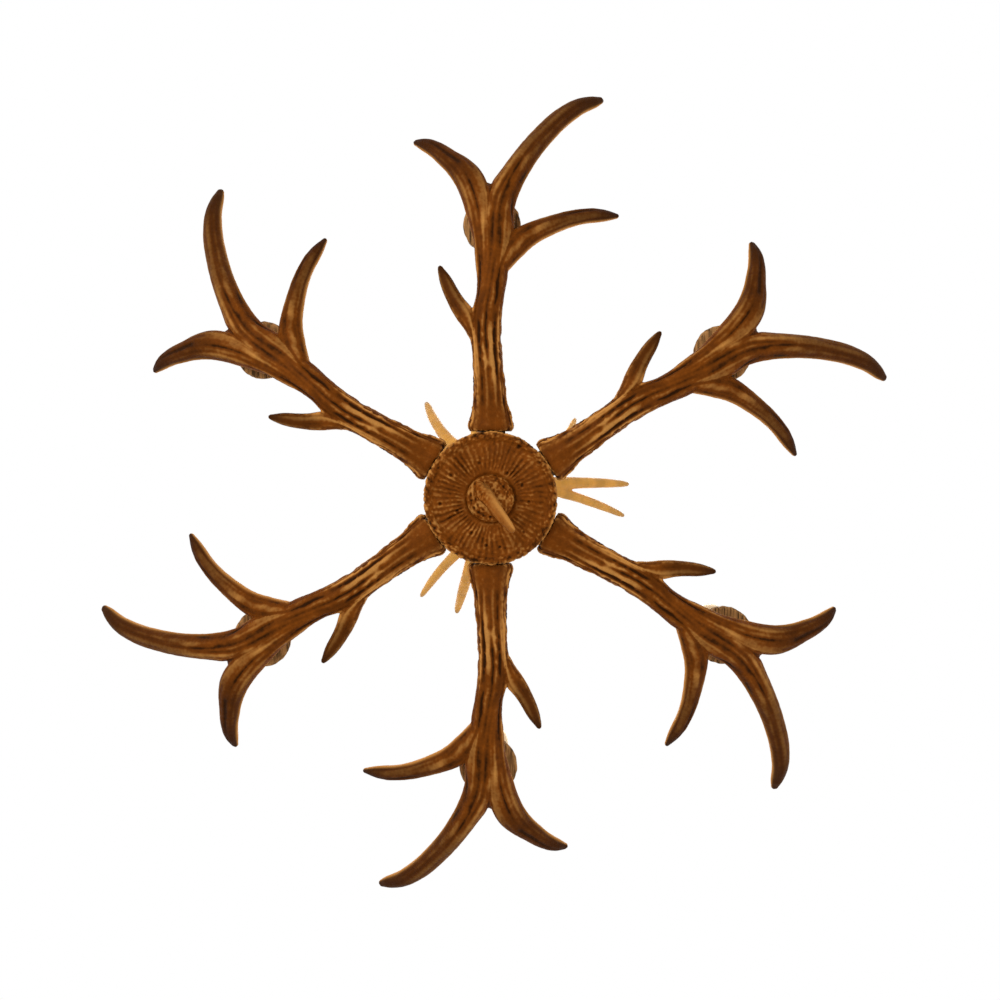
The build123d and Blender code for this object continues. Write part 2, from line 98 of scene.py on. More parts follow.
# An arm's oval sections in millimetres: out from its foot, to the side, above the foot's centre, width, depth
beam_sections = (
    (0, 0, 0, 37, 36),
    (3.5, 0, -0.6, 41, 39),
    (13, 0, -2, 37.5, 35),
    (27, -1, -5, 31.5, 31),
    (42, -1.5, -8.5, 29, 28),
    (62, -3, -12, 27.5, 26.5),
    (85, -4.5, -13, 28, 26.5),
    (105, -4, -11, 28, 26),
    (122, -1, -8, 26, 26),
    (142, 1, -3.5, 29, 26.5),
    (164, 1, 2, 33, 27),
    (188, 2, 9, 37, 26),
    (208, 5.5, 16.5, 31.5, 25),
    (222, 10.5, 23, 28, 23.5),
    (234, 17, 29, 25, 22),
    (256, 30, 43, 22, 21),
    (278, 45.5, 63, 20, 19.5),
    (300.5, 65, 85, 18.3, 17.5),
    (316, 84, 105, 15.5, 15),
    (325.5, 104, 125, 9.5, 9),
)
fork_sections = (
    (160, 0, 1, 22, 22),
    (180, -3.5, 7, 27.5, 24),
    (200, -8, 14, 28.5, 24.5),
    (216, -13, 21, 28, 23.5),
    (237, -22.5, 32, 26.5, 22.5),
    (248.5, -32.5, 42, 22.5, 20.5),
    (257.5, -42.5, 52, 19.5, 18.5),
    (266, -52, 62, 17, 16.5),
    (272.5, -62, 72, 14, 14),
    (277.5, -73.5, 84, 8, 8),
)
trez_sections = (
    (142, -2, -5, 20, 21),
    (155, 7.5, 0, 24, 23),
    (166, 17.5, 6, 24, 23),
    (177, 28.5, 13, 23, 21.5),
    (183.5, 38.5, 18, 20.5, 20),
    (190.5, 53, 27, 17.5, 17.5),
    (197.5, 69, 38, 15.5, 15.5),
    (202.5, 85.5, 50, 14.5, 14),
    (205, 102.5, 63, 12.5, 12),
    (206, 118, 76, 7.5, 7.5),
)
brow_sections = (
    (69, -3.5, -12, 14.5, 18),
    (82.5, -9, -11.5, 17, 19),
    (94.5, -15.5, -11, 18, 19),
    (105.5, -23, -10, 18, 18),
    (115.5, -30, -7.5, 16, 16.5),
    (126, -36, -4.5, 14, 15),
    (136.5, -41, -1, 12, 13),
    (149, -46.5, 4.5, 7.5, 7.5),
)
# A short web that rounds the crotch between the long tine and the fork
crotch_sections = ((212, -1, 22, 26, 20), (219, -2, 26, 26, 18), (223, -3, 29, 23, 15))
# An arm's horns, each with the share of its length beyond which it counts as a bare tine.
# The web never does, so its share lies past its end.
arm_horns = (
    (beam_sections, 0.55),
    (fork_sections, 0.3),
    (trez_sections, 0.3),
    (brow_sections, 0.35),
    (crotch_sections, 2.0),
)

# Crown antlers: the direction of each, then its tines as the tip's direction, reach and height above the
# plate, and the direction of the bend on the way there
crown_antlers = (
    (-12, (-2.6, 135, 176, -8.5), ((11.5, 134, 192, 0), (-41.5, 109, 184, -31))),
    (108, (107.7, 131.5, 186, 108), ((125, 132, 176, 126), (88, 112, 196, 95))),
    (-122, (-128.8, 113.5, 186, -134.5), ((-153, 95, 176, -143), (-92, 110, 196, -102))),
)
# In millimetres: the reach from the hub's axis, the height above the plate and, for the stem, its width
crown_stem = ((33, 0, 18), (34, 12, 16.5), (37, 26, 16), (41, 38, 15.5))
crown_side_roots = ((39, 34), (36, 22))
crown_bend = (78, 84)
crown_beam_widths = (15.5, 13, 11.2, 9.6, 6)
crown_tine_widths = (8, 10.4, 9.6, 8.6, 5.4)

# The finial's sections in millimetres: X, Y, below the boss, diameter. The first are its root on the boss.
finial_sections = (
    (-12.5, -13, -1.5, 8),
    (-9.5, -9.5, 1.5, 12),
    (-5.5, -5, 6, 14.5),
    (0, 1, 16, 12.5),
    (6, 8.5, 28, 10.8),
    (13, 17, 39, 9.8),
    (19.5, 24.5, 46, 9),
)
finial_foot = ((-6, -6, -3, 17), (-5.5, -5, 4, 15.5), (-4, -3, 10, 12))
finial_grid = 0.6 * mm

# Pits and knots on the disc in millimetres from its middle: X, Y, radius
disc_pits = (
    (-10.3, -31.6, 1.7), (-35.2, -21.2, 2.0), (-45.5, 5.0, 1.5), (-29.7, 11.8, 1.6),
    (-17.3, 31.0, 1.9), (14.4, -22.6, 1.7), (28.3, -11.6, 1.5), (34.4, 3.6, 1.4),
    (43.4, -32.2, 1.5), (25.5, -46.0, 1.8), (-50.3, 25.7, 2.2), (30.0, 30.5, 1.3),
    (-4.0, 42.5, 1.4), (8.5, 44.0, 1.2),
)
boss_pits = (
    (-17.5, -2.5, 1.5), (-17.0, 3.5, 1.7), (-14.5, 8.5, 1.5), (-10.5, 12.5, 1.8),
    (-5.5, 15.0, 1.6), (-13.0, 0.5, 1.2), (-11.0, 6.0, 1.3), (-6.5, 9.8, 1.2),
    (0.0, 16.5, 1.3), (12.5, -9.5, 1.3), (15.0, -3.0, 1.1), (8.0, -14.5, 1.2),
    (3.5, 10.5, 1.0),
)

tip_angles = (20, 40, 57, 72, 84)  # of the rings that round a horn's tip
tip_taper = 14 * mm  # how far back from its end a tip narrows
tip_narrowing = 0.26


def tint(red, green, blue):
    """A colour given as three numbers up to 255, as the linear values that shaders use."""
    shares = (red / 255, green / 255, blue / 255)
    return tuple(c / 12.92 if c <= 0.04045 else ((c + 0.055) / 1.055) ** 2.4 for c in shares)


class ChandelierSizes(bpy.types.PropertyGroup):
    """Sizes that a user would change"""

    carve_grid: FloatProperty(
        name="Carving grid", description="Spacing of the points that a horn is carved with",
        default=0.95 * mm, min=0.5 * mm, max=4 * mm, unit="LENGTH",
    )
    groove_depth: FloatProperty(
        name="Groove depth", description="Depth of the long grooves that run along the horns",
        default=1.0 * mm, min=0, max=3 * mm, unit="LENGTH",
    )
    pearl_height: FloatProperty(
        name="Pearling height", description="Height of the rough pearling above an arm's foot",
        default=1.3 * mm, min=0, max=3 * mm, unit="LENGTH",
    )
    rib_depth: FloatProperty(
        name="Rib depth", description="Depth of the grooves that run outwards on the base disc",
        default=1.5 * mm, min=0, max=3 * mm, unit="LENGTH",
    )
    floor_drop: FloatProperty(
        name="Floor", description="Distance from the ceiling to the floor",
        default=3.0, min=2.7, max=6.0, unit="LENGTH",
    )


class ChandelierColours(bpy.types.PropertyGroup):
    """Colours that a user would change"""

    stain: FloatVectorProperty(
        name="Antler stain", description="Brown of the arms",
        subtype="COLOR", default=tint(126, 66, 13), min=0, max=1,
    )
    # Also the colour of the painted shade on the arms' tips and on their sides that face away from the hub.
    groove_stain_and_shade: FloatVectorProperty(
        name="Groove stain", description="Dark brown that stays in the grooves and on the tips",
        subtype="COLOR", default=tint(52, 25, 3), min=0, max=1,
    )
    # Also the colour of the painted highlights on the arms' hub-facing edges and on one side of the finial.
    rubbed_and_highlight: FloatVectorProperty(
        name="Rubbed ridges", description="Lighter brown where the ridges are rubbed",
        subtype="COLOR", default=tint(196, 136, 68), min=0, max=1,
    )
    honey: FloatVectorProperty(
        name="Crown honey", description="Pale gold of the crown antlers",
        subtype="COLOR", default=tint(244, 176, 76), min=0, max=1,
    )
    slice_tan: FloatVectorProperty(
        name="Cup tan", description="Tan of the candle cups",
        subtype="COLOR", default=tint(166, 122, 74), min=0, max=1,
    )
    wax: FloatVectorProperty(
        name="Candle ivory", description="Ivory of the candle tubes",
        subtype="COLOR", default=tint(232, 216, 182), min=0, max=1,
    )
    bronze: FloatVectorProperty(
        name="Bronze", description="Dark bronze of the canopy and chain",
        subtype="COLOR", default=tint(86, 62, 42), min=0, max=1,
    )


# ---------------------------------------------------------------- carving tools


def corner_value(x, y, z, seed):
    """A repeatable number from 0 to 1 for each whole-number corner."""
    mixed = x.astype(np.uint32) * np.uint32(374761393) + y.astype(np.uint32) * np.uint32(668265263)
    mixed = mixed + z.astype(np.uint32) * np.uint32(2246822519) + np.uint32(seed * 97531 + 17)
    mixed = (mixed ^ (mixed >> np.uint32(13))) * np.uint32(1274126177)
    mixed = (mixed ^ (mixed >> np.uint32(16))) * np.uint32(3266489917)
    mixed = mixed ^ (mixed >> np.uint32(15))
    return mixed.astype(np.float32) / np.float32(2**32)


def cloud(points, size, seed):
    """Smooth noise from 0 to 1 at points, with lumps about one size across."""
    scaled = points / size + 500
    corner = np.floor(scaled).astype(np.int64)
    share = (scaled - corner).astype(np.float32)
    share = share * share * (3 - 2 * share)
    total = np.zeros(len(points), np.float32)
    for dx in (0, 1):
        for dy in (0, 1):
            for dz in (0, 1):
                weight = np.abs(1 - dx - share[:, 0]) * np.abs(1 - dy - share[:, 1])
                weight = weight * np.abs(1 - dz - share[:, 2])
                total += weight * corner_value(corner[:, 0] + dx, corner[:, 1] + dy, corner[:, 2] + dz, seed)
    return total


def step(low, high, values):
    """Rises smoothly from 0 at low to 1 at high."""
    share = np.clip((values - low) / (high - low), 0, 1)
    return share * share * (3 - 2 * share)


def levelled(values):
    """The values with a mean of 0 and a spread of 1."""
    return (values - values.mean()) / values.std()


def read_points(mesh):
    """The mesh's vertices as an array."""
    flat = np.empty(len(mesh.vertices) * 3, np.float32)
    mesh.vertices.foreach_get("co", flat)
    return flat.reshape(-1, 3)


def read_normals(mesh):
    """The mesh's vertex normals as an array."""
    flat = np.empty(len(mesh.vertices) * 3, np.float32)
    mesh.vertex_normals.foreach_get("vector", flat)
    return flat.reshape(-1, 3)


def write_points(mesh, points):
    """Puts the mesh's vertices at the points."""
    mesh.vertices.foreach_set("co", points.astype(np.float32).ravel())
    mesh.update()


def trim(mesh, side):
    """Flattens a mesh at its own zero level: np.minimum keeps what is below it, np.maximum what is above."""
    points = read_points(mesh)
    points[:, 2] = side(points[:, 2], 0)
    write_points(mesh, points)
    return points


def keep_looks(mesh, offset=0.0, **looks):
    """Stores numbers for each vertex and its place in the piece's own frame, for a material to read."""
    for name, values in looks.items():
        attribute = mesh.attributes.new(name, "FLOAT", "POINT")
        values = np.broadcast_to(values, len(mesh.vertices)).astype(np.float32)
        attribute.data.foreach_set("value", values)
    own = mesh.attributes.new("own", "FLOAT_VECTOR", "POINT")
    own.data.foreach_set("vector", (read_points(mesh) + offset).astype(np.float32).ravel())


def relax(mesh, points, rounds):
    """Evens the values at the points out, each towards the mean of its neighbours."""
    pairs = np.empty(len(mesh.edges) * 2, np.int32)
    mesh.edges.foreach_get("vertices", pairs)
    first, second = pairs.reshape(-1, 2).T
    count = np.bincount(pairs, minlength=len(points))[:, None]
    for _ in range(rounds):
        total = np.zeros_like(points, dtype=np.float64)
        for axis in range(3):
            total[:, axis] = np.bincount(first, points[second, axis], len(points))
            total[:, axis] += np.bincount(second, points[first, axis], len(points))
        points = (points + total / count) / 2
    return points.astype(np.float32)


def fair_stations(stations, spacing):
    """Reads a smooth curve through the stations every spacing, in metres."""
    knots = np.array(stations, float) * mm
    lengths = np.linalg.norm(np.diff(knots[:, :3], axis=0), axis=1)
    along = np.concatenate(([0], np.cumsum(lengths)))
    slopes = np.gradient(knots, along, axis=0)
    places = np.linspace(0, along[-1], max(int(along[-1] / spacing), 4))
    piece = np.clip(np.searchsorted(along, places, "right") - 1, 0, len(lengths) - 1)
    span = lengths[piece][:, None]
    t = (places - along[piece])[:, None] / span
    start = knots[piece] * (1 + 2 * t) * (1 - t) ** 2 + slopes[piece] * span * t * (1 - t) ** 2
    end = knots[piece + 1] * t**2 * (3 - 2 * t) + slopes[piece + 1] * span * t**2 * (t - 1)
    return start + end


def ring_place(centre, forward, hint, width, depth):
    """The matrix that lays a unit circle across a path as an oval."""
    across = hint.cross(forward).normalized()
    over = forward.cross(across)
    turn = Matrix((across, over, forward)).transposed().to_4x4()
    return Matrix.Translation(centre) @ turn @ Matrix.Diagonal((width / 2, depth / 2, 1, 1))


def stack_rings(bm, places, segments, closed=False):
    """Lays a circle at each place and bridges each to the next."""
    loops = []
    for place in places:
        made = bmesh.ops.create_circle(bm, segments=segments, radius=1, matrix=place)
        edges = []
        for vert in made["verts"]:
            edges += [edge for edge in vert.link_edges if edge not in edges]
        loops.append(edges)
    pairs = list(zip(loops, loops[1:]))
    if closed:
        pairs.append((loops[-1], loops[0]))
    for near, far in pairs:
        bmesh.ops.bridge_loops(bm, edges=near + far)


def horn_lines(stations, hint, start=None):
    """A horn's ring places, and its middle line as point, direction, radius and share of its length."""
    path = fair_stations(stations, section_spacing)
    centres = [Vector(row[:3]) for row in path]
    places = []
    line = []
    for number, centre in enumerate(centres):
        ahead = centres[min(number + 1, len(centres) - 1)]
        behind = centres[max(number - 1, 0)]
        forward = (ahead - behind).normalized()
        if number == 0 and start is not None:
            forward = start
        slim = 1 - tip_narrowing * (1 - min((centres[-1] - centre).length / tip_taper, 1)) ** 2
        places.append(ring_place(centre, forward, hint, slim * path[number][3], slim * path[number][4]))
        radius = (path[number][3] + path[number][4]) / 4
        line.append((*centre, *forward, radius, number / (len(centres) - 1)))
    width, depth = path[-1][3:5] * (1 - tip_narrowing)
    for angle in tip_angles:
        lean = radians(angle)
        tip = centres[-1] + forward * (sin(lean) * width * 0.6)
        places.append(ring_place(tip, forward, hint, width * cos(lean), depth * cos(lean)))
    return places, np.array(line, np.float32)


def melt(horns, grid, rounds=6):
    """Joins horns into one even skin, smoothed in a number of rounds."""
    bm = bmesh.new()
    for places, _ in horns:
        stack_rings(bm, places, horn_segments)
    bmesh.ops.holes_fill(bm, edges=[edge for edge in bm.edges if edge.is_boundary], sides=0)
    bmesh.ops.recalc_face_normals(bm, faces=bm.faces)
    rough = bpy.data.meshes.new("rough")
    bm.to_mesh(rough)
    bm.free()
    carrier = bpy.data.objects.new("rough", rough)
    bpy.context.scene.collection.objects.link(carrier)
    remesh = carrier.modifiers.new("skin", "REMESH")
    remesh.mode = "VOXEL"
    remesh.voxel_size = grid
    remesh.adaptivity = 0
    depsgraph = bpy.context.evaluated_depsgraph_get()
    mesh = bpy.data.meshes.new_from_object(carrier.evaluated_get(depsgraph))
    bpy.data.objects.remove(carrier)
    bpy.data.meshes.remove(rough)
    stepped = read_points(mesh)
    even = relax(mesh, stepped, rounds)
    write_points(mesh, even + relax(mesh, stepped - even, rounds))
    mesh.shade_smooth()
    return mesh


def grain_flow(points, line):
    """The way the grain runs at each point: along the nearest horn, and closing in as it tapers."""
    centres, forwards, radii = line[:, :3], line[:, 3:6], line[:, 6]
    apart = (points**2).sum(1)[:, None] + (centres**2).sum(1)[None] - 2 * points @ centres.T
    weights = np.exp(-2 * np.maximum(apart, 0) / radii**2) + np.float32(1e-20)
    weights /= weights.sum(1, keepdims=True)
    taper = line[:, 8]
    flow = weights @ forwards + points * (weights @ taper)[:, None]
    flow -= weights @ (taper[:, None] * centres)
    return flow, weights


def with_taper(line):
    """Adds each middle point's rate of taper to a horn's line."""
    apart = np.linalg.norm(np.diff(line[:, :3], axis=0), axis=1).mean()
    taper = np.gradient(line[:, 6], apart) / line[:, 6]
    return np.column_stack((line, taper)).astype(np.float32)


def streaks(points, line, sizes, reach, seed):
    """Noise of several sizes, drawn out along the grain to a reach each way."""
    totals = [cloud(points, size, seed + number) for number, size in enumerate(sizes)]
    for way in (1, -1):
        place = points.copy()
        for _ in range(int(reach / grain_stride)):
            place += way * grain_stride * grain_flow(place, line)[0]
            for number, size in enumerate(sizes):
                totals[number] += cloud(place, size, seed + number)
    return [levelled(total) for total in totals]


def cells(points, size, seed):
    """Rounded pearls about one size across: 1 in the middle of each, 0 between them."""
    scaled = points / size + 500
    corner = np.floor(scaled).astype(np.int64)
    nearest = np.full(len(points), 9.0, np.float32)
    for dx in (-1, 0, 1):
        for dy in (-1, 0, 1):
            for dz in (-1, 0, 1):
                x, y, z = corner[:, 0] + dx, corner[:, 1] + dy, corner[:, 2] + dz
                seat = np.stack([corner_value(x, y, z, seed + k) for k in range(3)], 1)
                gap = scaled - (np.stack((x, y, z), 1) + seat)
                nearest = np.minimum(nearest, (gap**2).sum(1))
    return 1 - np.clip(np.sqrt(nearest) / 0.9, 0, 1)


def spun(profile, steps):
    """A bmesh turned about Z from a line of points; a closed profile repeats its first point."""
    bm = bmesh.new()
    closed = profile[0] == profile[-1]
    points = profile[:-1] if closed else profile
    verts = [bm.verts.new(point) for point in points]
    edges = [bm.edges.new(pair) for pair in zip(verts, verts[1:])]
    if closed:
        edges.append(bm.edges.new((verts[-1], verts[0])))
    bmesh.ops.spin(bm, geom=verts + edges, cent=(0, 0, 0), axis=up, angle=tau, steps=steps, use_merge=True)
    bmesh.ops.remove_doubles(bm, verts=bm.verts, dist=0.01 * mm)
    bmesh.ops.recalc_face_normals(bm, faces=bm.faces)
    return bm


def divided(profile, spacing):
    """The same half section, with points no further apart than the spacing."""
    points = []
    for start, end in zip(profile, profile[1:]):
        count = max(int((Vector(end) - Vector(start)).length / spacing), 1)
        points += [tuple(Vector(start).lerp(Vector(end), k / count)) for k in range(count)]
    return points + [tuple(profile[-1])]


def half_section(*corners):
    """(radius, height) corners in millimetres as points of a half section in metres."""
    return [(radius * mm, 0, height * mm) for radius, height in corners]


def finished(bm, name, smooth=True):
    """Turns a bmesh into a mesh."""
    mesh = bpy.data.meshes.new(name)
    bm.to_mesh(mesh)
    bm.free()
    if smooth:
        mesh.shade_smooth()
    return mesh


def turned(corners, spacing, steps, name):
    """A mesh turned about Z from a half section, fine enough to be carved, with its points and normals."""
    mesh = finished(spun(divided(half_section(*corners), spacing), steps), name)
    return mesh, read_points(mesh), read_normals(mesh)


def own_mesh(bm, name):
    """A smooth mesh that keeps its vertices' places for its material's patterns."""
    mesh = finished(bm, name)
    keep_looks(mesh)
    return mesh


def joined(whole, *others):
    """Joins other bmeshes into a whole one."""
    for bm in others:
        part = finished(bm, "part")
        whole.from_mesh(part)
        bpy.data.meshes.remove(part)


def seat_piece(mesh, name, body, nodes, finish, crease=None):
    """Makes the mesh a piece that rides on a body, stands for CAD nodes and has a finish."""
    mesh.name = name
    mesh.materials.clear()
    mesh.materials.append(finish)
    piece = bpy.data.objects.new(name, mesh)
    bpy.context.scene.collection.objects.link(piece)
    if crease is not None:
        mesh.set_sharp_from_angle(angle=radians(crease))
    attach(piece, body)
    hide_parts(*nodes)


def arm_place(direction):
    """The matrix from an arm's own frame to its place round the hub."""
    turn = Matrix.Rotation(radians(direction), 4, "Z")
    return turn @ Matrix.Translation((foot_reach, 0, foot_level))


def candle_place(direction):
    """The matrix from a candle's own frame, on its seat, to its place."""
    turn = Matrix.Rotation(radians(direction), 3, "Z")
    return Matrix.Translation(turn @ Vector((foot_reach + cup_out, 0, seat_level)))


# ---------------------------------------------------------------- finishes


class Finish:
    """The nodes of one material, laid out from the pattern to the shader."""

    def __init__(self, name, roughness, metallic=0.0, specular=0.5):
        self.material = bpy.data.materials.new(name)
        self.material.use_nodes = True
        self.tree = self.material.node_tree
        self.shader = self.tree.nodes["Principled BSDF"]
        self.set("Roughness", roughness)
        self.set("Metallic", metallic)
        self.set("Specular IOR Level", specular)

    def set(self, socket, value):
        """Sets a shader socket to one value, or joins a pattern to it."""
        if isinstance(value, bpy.types.NodeSocket):
            self.tree.links.new(value, self.shader.inputs[socket])
        else:
            self.shader.inputs[socket].default_value = value

    def node(self, kind, **settings):
        """A new node with its settings."""
        made = self.tree.nodes.new(kind)
        for name, value in settings.items():
            setattr(made, name, value)
        return made

    def feed(self, socket, value):
        """Joins a pattern to a node's socket, or sets it to a value."""
        if isinstance(value, bpy.types.NodeSocket):
            self.tree.links.new(value, socket)
        elif socket.type == "RGBA" and len(value) == 3:
            socket.default_value = (*value, 1)
        else:
            socket.default_value = value

    def own(self, stretch=(1, 1, 1)):
        """The piece's own coordinates, drawn out along an axis where stretch is small."""
        place = self.node("ShaderNodeAttribute", attribute_name="own")
        mapping = self.node("ShaderNodeMapping")
        mapping.inputs["Scale"].default_value = stretch
        self.tree.links.new(place.outputs["Vector"], mapping.inputs["Vector"])
        return mapping.outputs["Vector"]

    def stored(self, name):
        """A number stored on the mesh."""
        return self.node("ShaderNodeAttribute", attribute_name=name).outputs["Fac"]

    def noise(self, size, detail=4.0, roughness=0.55, stretch=(1, 1, 1), distortion=0.0):
        """A cloud pattern with lumps about one size across."""
        made = self.node("ShaderNodeTexNoise")
        made.inputs["Scale"].default_value = 1 / size
        made.inputs["Detail"].default_value = detail
        made.inputs["Roughness"].default_value = roughness
        made.inputs["Distortion"].default_value = distortion
        self.tree.links.new(self.own(stretch), made.inputs["Vector"])
        return made.outputs["Fac"]

    def ramp(self, value, *stops):
        """Turns a number into a colour or a grey through (place, colour) stops."""
        made = self.node("ShaderNodeValToRGB")
        self.tree.links.new(value, made.inputs["Fac"])
        elements = made.color_ramp.elements
        while len(elements) < len(stops):
            elements.new(0.5)
        for element, (place, colour) in zip(elements, stops):
            element.position = place
            element.color = (*colour, 1) if hasattr(colour, "__len__") else (colour, colour, colour, 1)
        return made.outputs["Color"]

    def mix(self, share, first, second, blend="MIX"):
        """Mixes two colours by a share."""
        made = self.node("ShaderNodeMix", data_type="RGBA", blend_type=blend)
        self.feed(made.inputs[0], share)
        self.feed(made.inputs[6], first)
        self.feed(made.inputs[7], second)
        return made.outputs[2]

    def bump(self, height, depth):
        """Raises the surface by a pattern, to a depth."""
        made = self.node("ShaderNodeBump")
        made.inputs["Distance"].default_value = depth
        self.tree.links.new(height, made.inputs["Height"])
        self.tree.links.new(made.outputs["Normal"], self.shader.inputs["Normal"])

    def surface(self, colour, pattern, roughness, relief, depth):
        """Joins the colour, the roughness between two values and the relief; returns the material."""
        self.set("Base Color", colour)
        self.set("Roughness", self.ramp(pattern, (0.3, roughness[0]), (0.7, roughness[1])))
        self.bump(relief, depth)
        return self.material


def scaled(colour, share):
    """A colour made darker or lighter by a share."""
    return tuple(min(part * share, 1) for part in colour)


def horn_colours(colours):
    """The arms' stain, the lighter brown of its rubbed ridges and painted highlights, and the dark brown of
    its grooves and painted shade.
    """
    return tuple(colours.stain), tuple(colours.rubbed_and_highlight), tuple(colours.groove_stain_and_shade)


def stained_horn(name, base, light, dark):
    """Cast antler: stain in the grooves, rubbed ridges, mottling, pores, painted shade on the arms' tips and
    far sides, and painted highlights on edges that face the light.
    """
    finish = Finish(name, 0.6, specular=0.04)
    stops = ((0.0, dark), (0.3, scaled(base, 0.68)), (0.56, base), (1.0, light))
    carved = finish.ramp(finish.stored("carve"), *stops)
    mottle = finish.ramp(finish.noise(15 * mm, 5, 0.6), (0.35, 0.8), (0.65, 1.06))
    coloured = finish.mix(1.0, carved, mottle, "MULTIPLY")
    specks = finish.ramp(finish.noise(1.8 * mm, 3, 0.6), (0.32, 0.78), (0.5, 1.0))
    coloured = finish.mix(0.6, coloured, specks, "MULTIPLY")
    # Painted shade: darker where the mesh's tip number says, which on the arms means their tine tips and
    # their sides that face away from the hub.
    coloured = finish.mix(finish.stored("tip"), coloured, scaled(dark, 1.1))
    # Lighter where the mesh's stored number says: rubbed ridges, and painted highlights on the arms'
    # hub-facing edges and on one side of the finial.
    coloured = finish.mix(finish.stored("worn"), coloured, scaled(light, 1.35))
    pores = finish.noise(1.2 * mm, 6, 0.65)
    return finish.surface(coloured, finish.noise(5 * mm), (0.5, 0.7), pores, 0.22 * mm)


def crown_finish(colours):
    """Pale honey horn with faint long streaks and small dark nicks."""
    honey = tuple(colours.honey)
    finish = Finish("crown_honey", 0.5, specular=0.12)
    stops = ((0.0, scaled(honey, 0.5)), (0.5, honey), (1.0, scaled(honey, 1.2)))
    carved = finish.ramp(finish.stored("carve"), *stops)
    mottle = finish.ramp(finish.noise(18 * mm, 4), (0.35, 0.8), (0.65, 1.08))
    coloured = finish.mix(1.0, carved, mottle, "MULTIPLY")
    nicks = finish.ramp(finish.noise(7 * mm, 2, 0.5), (0.24, 0.3), (0.28, 1.0))
    coloured = finish.mix(0.8, coloured, nicks, "MULTIPLY")
    coloured = finish.mix(finish.stored("tip"), coloured, scaled(honey, 0.55))
    pores = finish.noise(1.4 * mm, 5, 0.6)
    return finish.surface(coloured, finish.noise(6 * mm), (0.36, 0.55), pores, 0.2 * mm)


def slice_finish(colours):
    """Tan end grain and fibres with fine dark lines along one way."""
    tan = tuple(colours.slice_tan)
    finish = Finish("slice_grain", 0.62, specular=0.1)
    fibres = finish.noise(2.4 * mm, 3, 0.6, (1, 0.06, 1), 0.15)
    lines = finish.ramp(fibres, (0.4, scaled(tan, 0.28)), (0.5, tan), (0.6, scaled(tan, 1.5)))
    patches = finish.ramp(finish.noise(12 * mm, 4), (0.35, 0.78), (0.65, 1.12))
    coloured = finish.mix(1.0, lines, patches, "MULTIPLY")
    return finish.surface(coloured, fibres, (0.75, 0.52), fibres, 0.5 * mm)


def wax_finish(colours):
    """Ivory candle tube with a soft bloom and faint runs."""
    wax = tuple(colours.wax)
    finish = Finish("candle_ivory", 0.45, specular=0.35)
    finish.set("Subsurface Weight", 0.15)
    finish.set("Subsurface Radius", (0.004, 0.0025, 0.0015))
    finish.set("Subsurface Scale", 1.0)
    runs = finish.noise(6 * mm, 4, 0.6, (1, 1, 0.2))
    coloured = finish.ramp(runs, (0.3, scaled(wax, 0.84)), (0.55, wax), (0.8, scaled(wax, 1.04)))
    return finish.surface(coloured, runs, (0.6, 0.38), runs, 0.3 * mm)


def bulb_finish():
    """Frosted warm glass, softly lit from within."""
    finish = Finish("bulb_frost", 0.35, specular=0.5)
    finish.set("Transmission Weight", 0.15)
    finish.set("Emission Color", (*tint(255, 205, 140), 1))
    finish.set("Emission Strength", 0.12)
    frost = finish.noise(1.5 * mm, 3)
    coloured = finish.ramp(frost, (0.3, tint(232, 204, 156)), (0.7, tint(246, 224, 182)))
    return finish.surface(coloured, frost, (0.3, 0.42), frost, 0.05 * mm)


def bronze_finish(colours):
    """Dark bronze paint, rubbed and mottled."""
    bronze = tuple(colours.bronze)
    finish = Finish("rubbed_bronze", 0.42, metallic=0.75)
    clouds = finish.noise(9 * mm, 6, 0.62)
    coloured = finish.ramp(clouds, (0.3, scaled(bronze, 0.55)), (0.55, bronze), (0.75, scaled(bronze, 1.9)))
    scuffs = finish.ramp(finish.noise(1.5 * mm, 4, 0.7), (0.32, 0.75), (0.6, 1.05))
    coloured = finish.mix(0.8, coloured, scuffs, "MULTIPLY")
    return finish.surface(coloured, clouds, (0.55, 0.33), finish.noise(1.2 * mm, 5, 0.6), 0.12 * mm)


def metal_finish(name, colour, roughness, drawn):
    """Plated metal with a drawn grain and cloudy roughness."""
    finish = Finish(name, roughness, metallic=1.0)
    clouds = finish.noise(8 * mm, 5, 0.6)
    coloured = finish.ramp(clouds, (0.3, scaled(colour, 0.78)), (0.7, scaled(colour, 1.08)))
    lines = finish.noise(0.7 * mm, 3, 0.6, drawn)
    return finish.surface(coloured, clouds, (roughness + 0.12, roughness - 0.06), lines, 0.06 * mm)


def moulded_finish(name, colour):
    """Moulded plastic with a fine even texture."""
    finish = Finish(name, 0.5, specular=0.4)
    clouds = finish.noise(6 * mm, 4)
    coloured = finish.ramp(clouds, (0.3, scaled(colour, 0.8)), (0.7, scaled(colour, 1.2)))
    return finish.surface(coloured, clouds, (0.58, 0.44), finish.noise(0.5 * mm, 3), 0.05 * mm)


# ---------------------------------------------------------------- the pieces


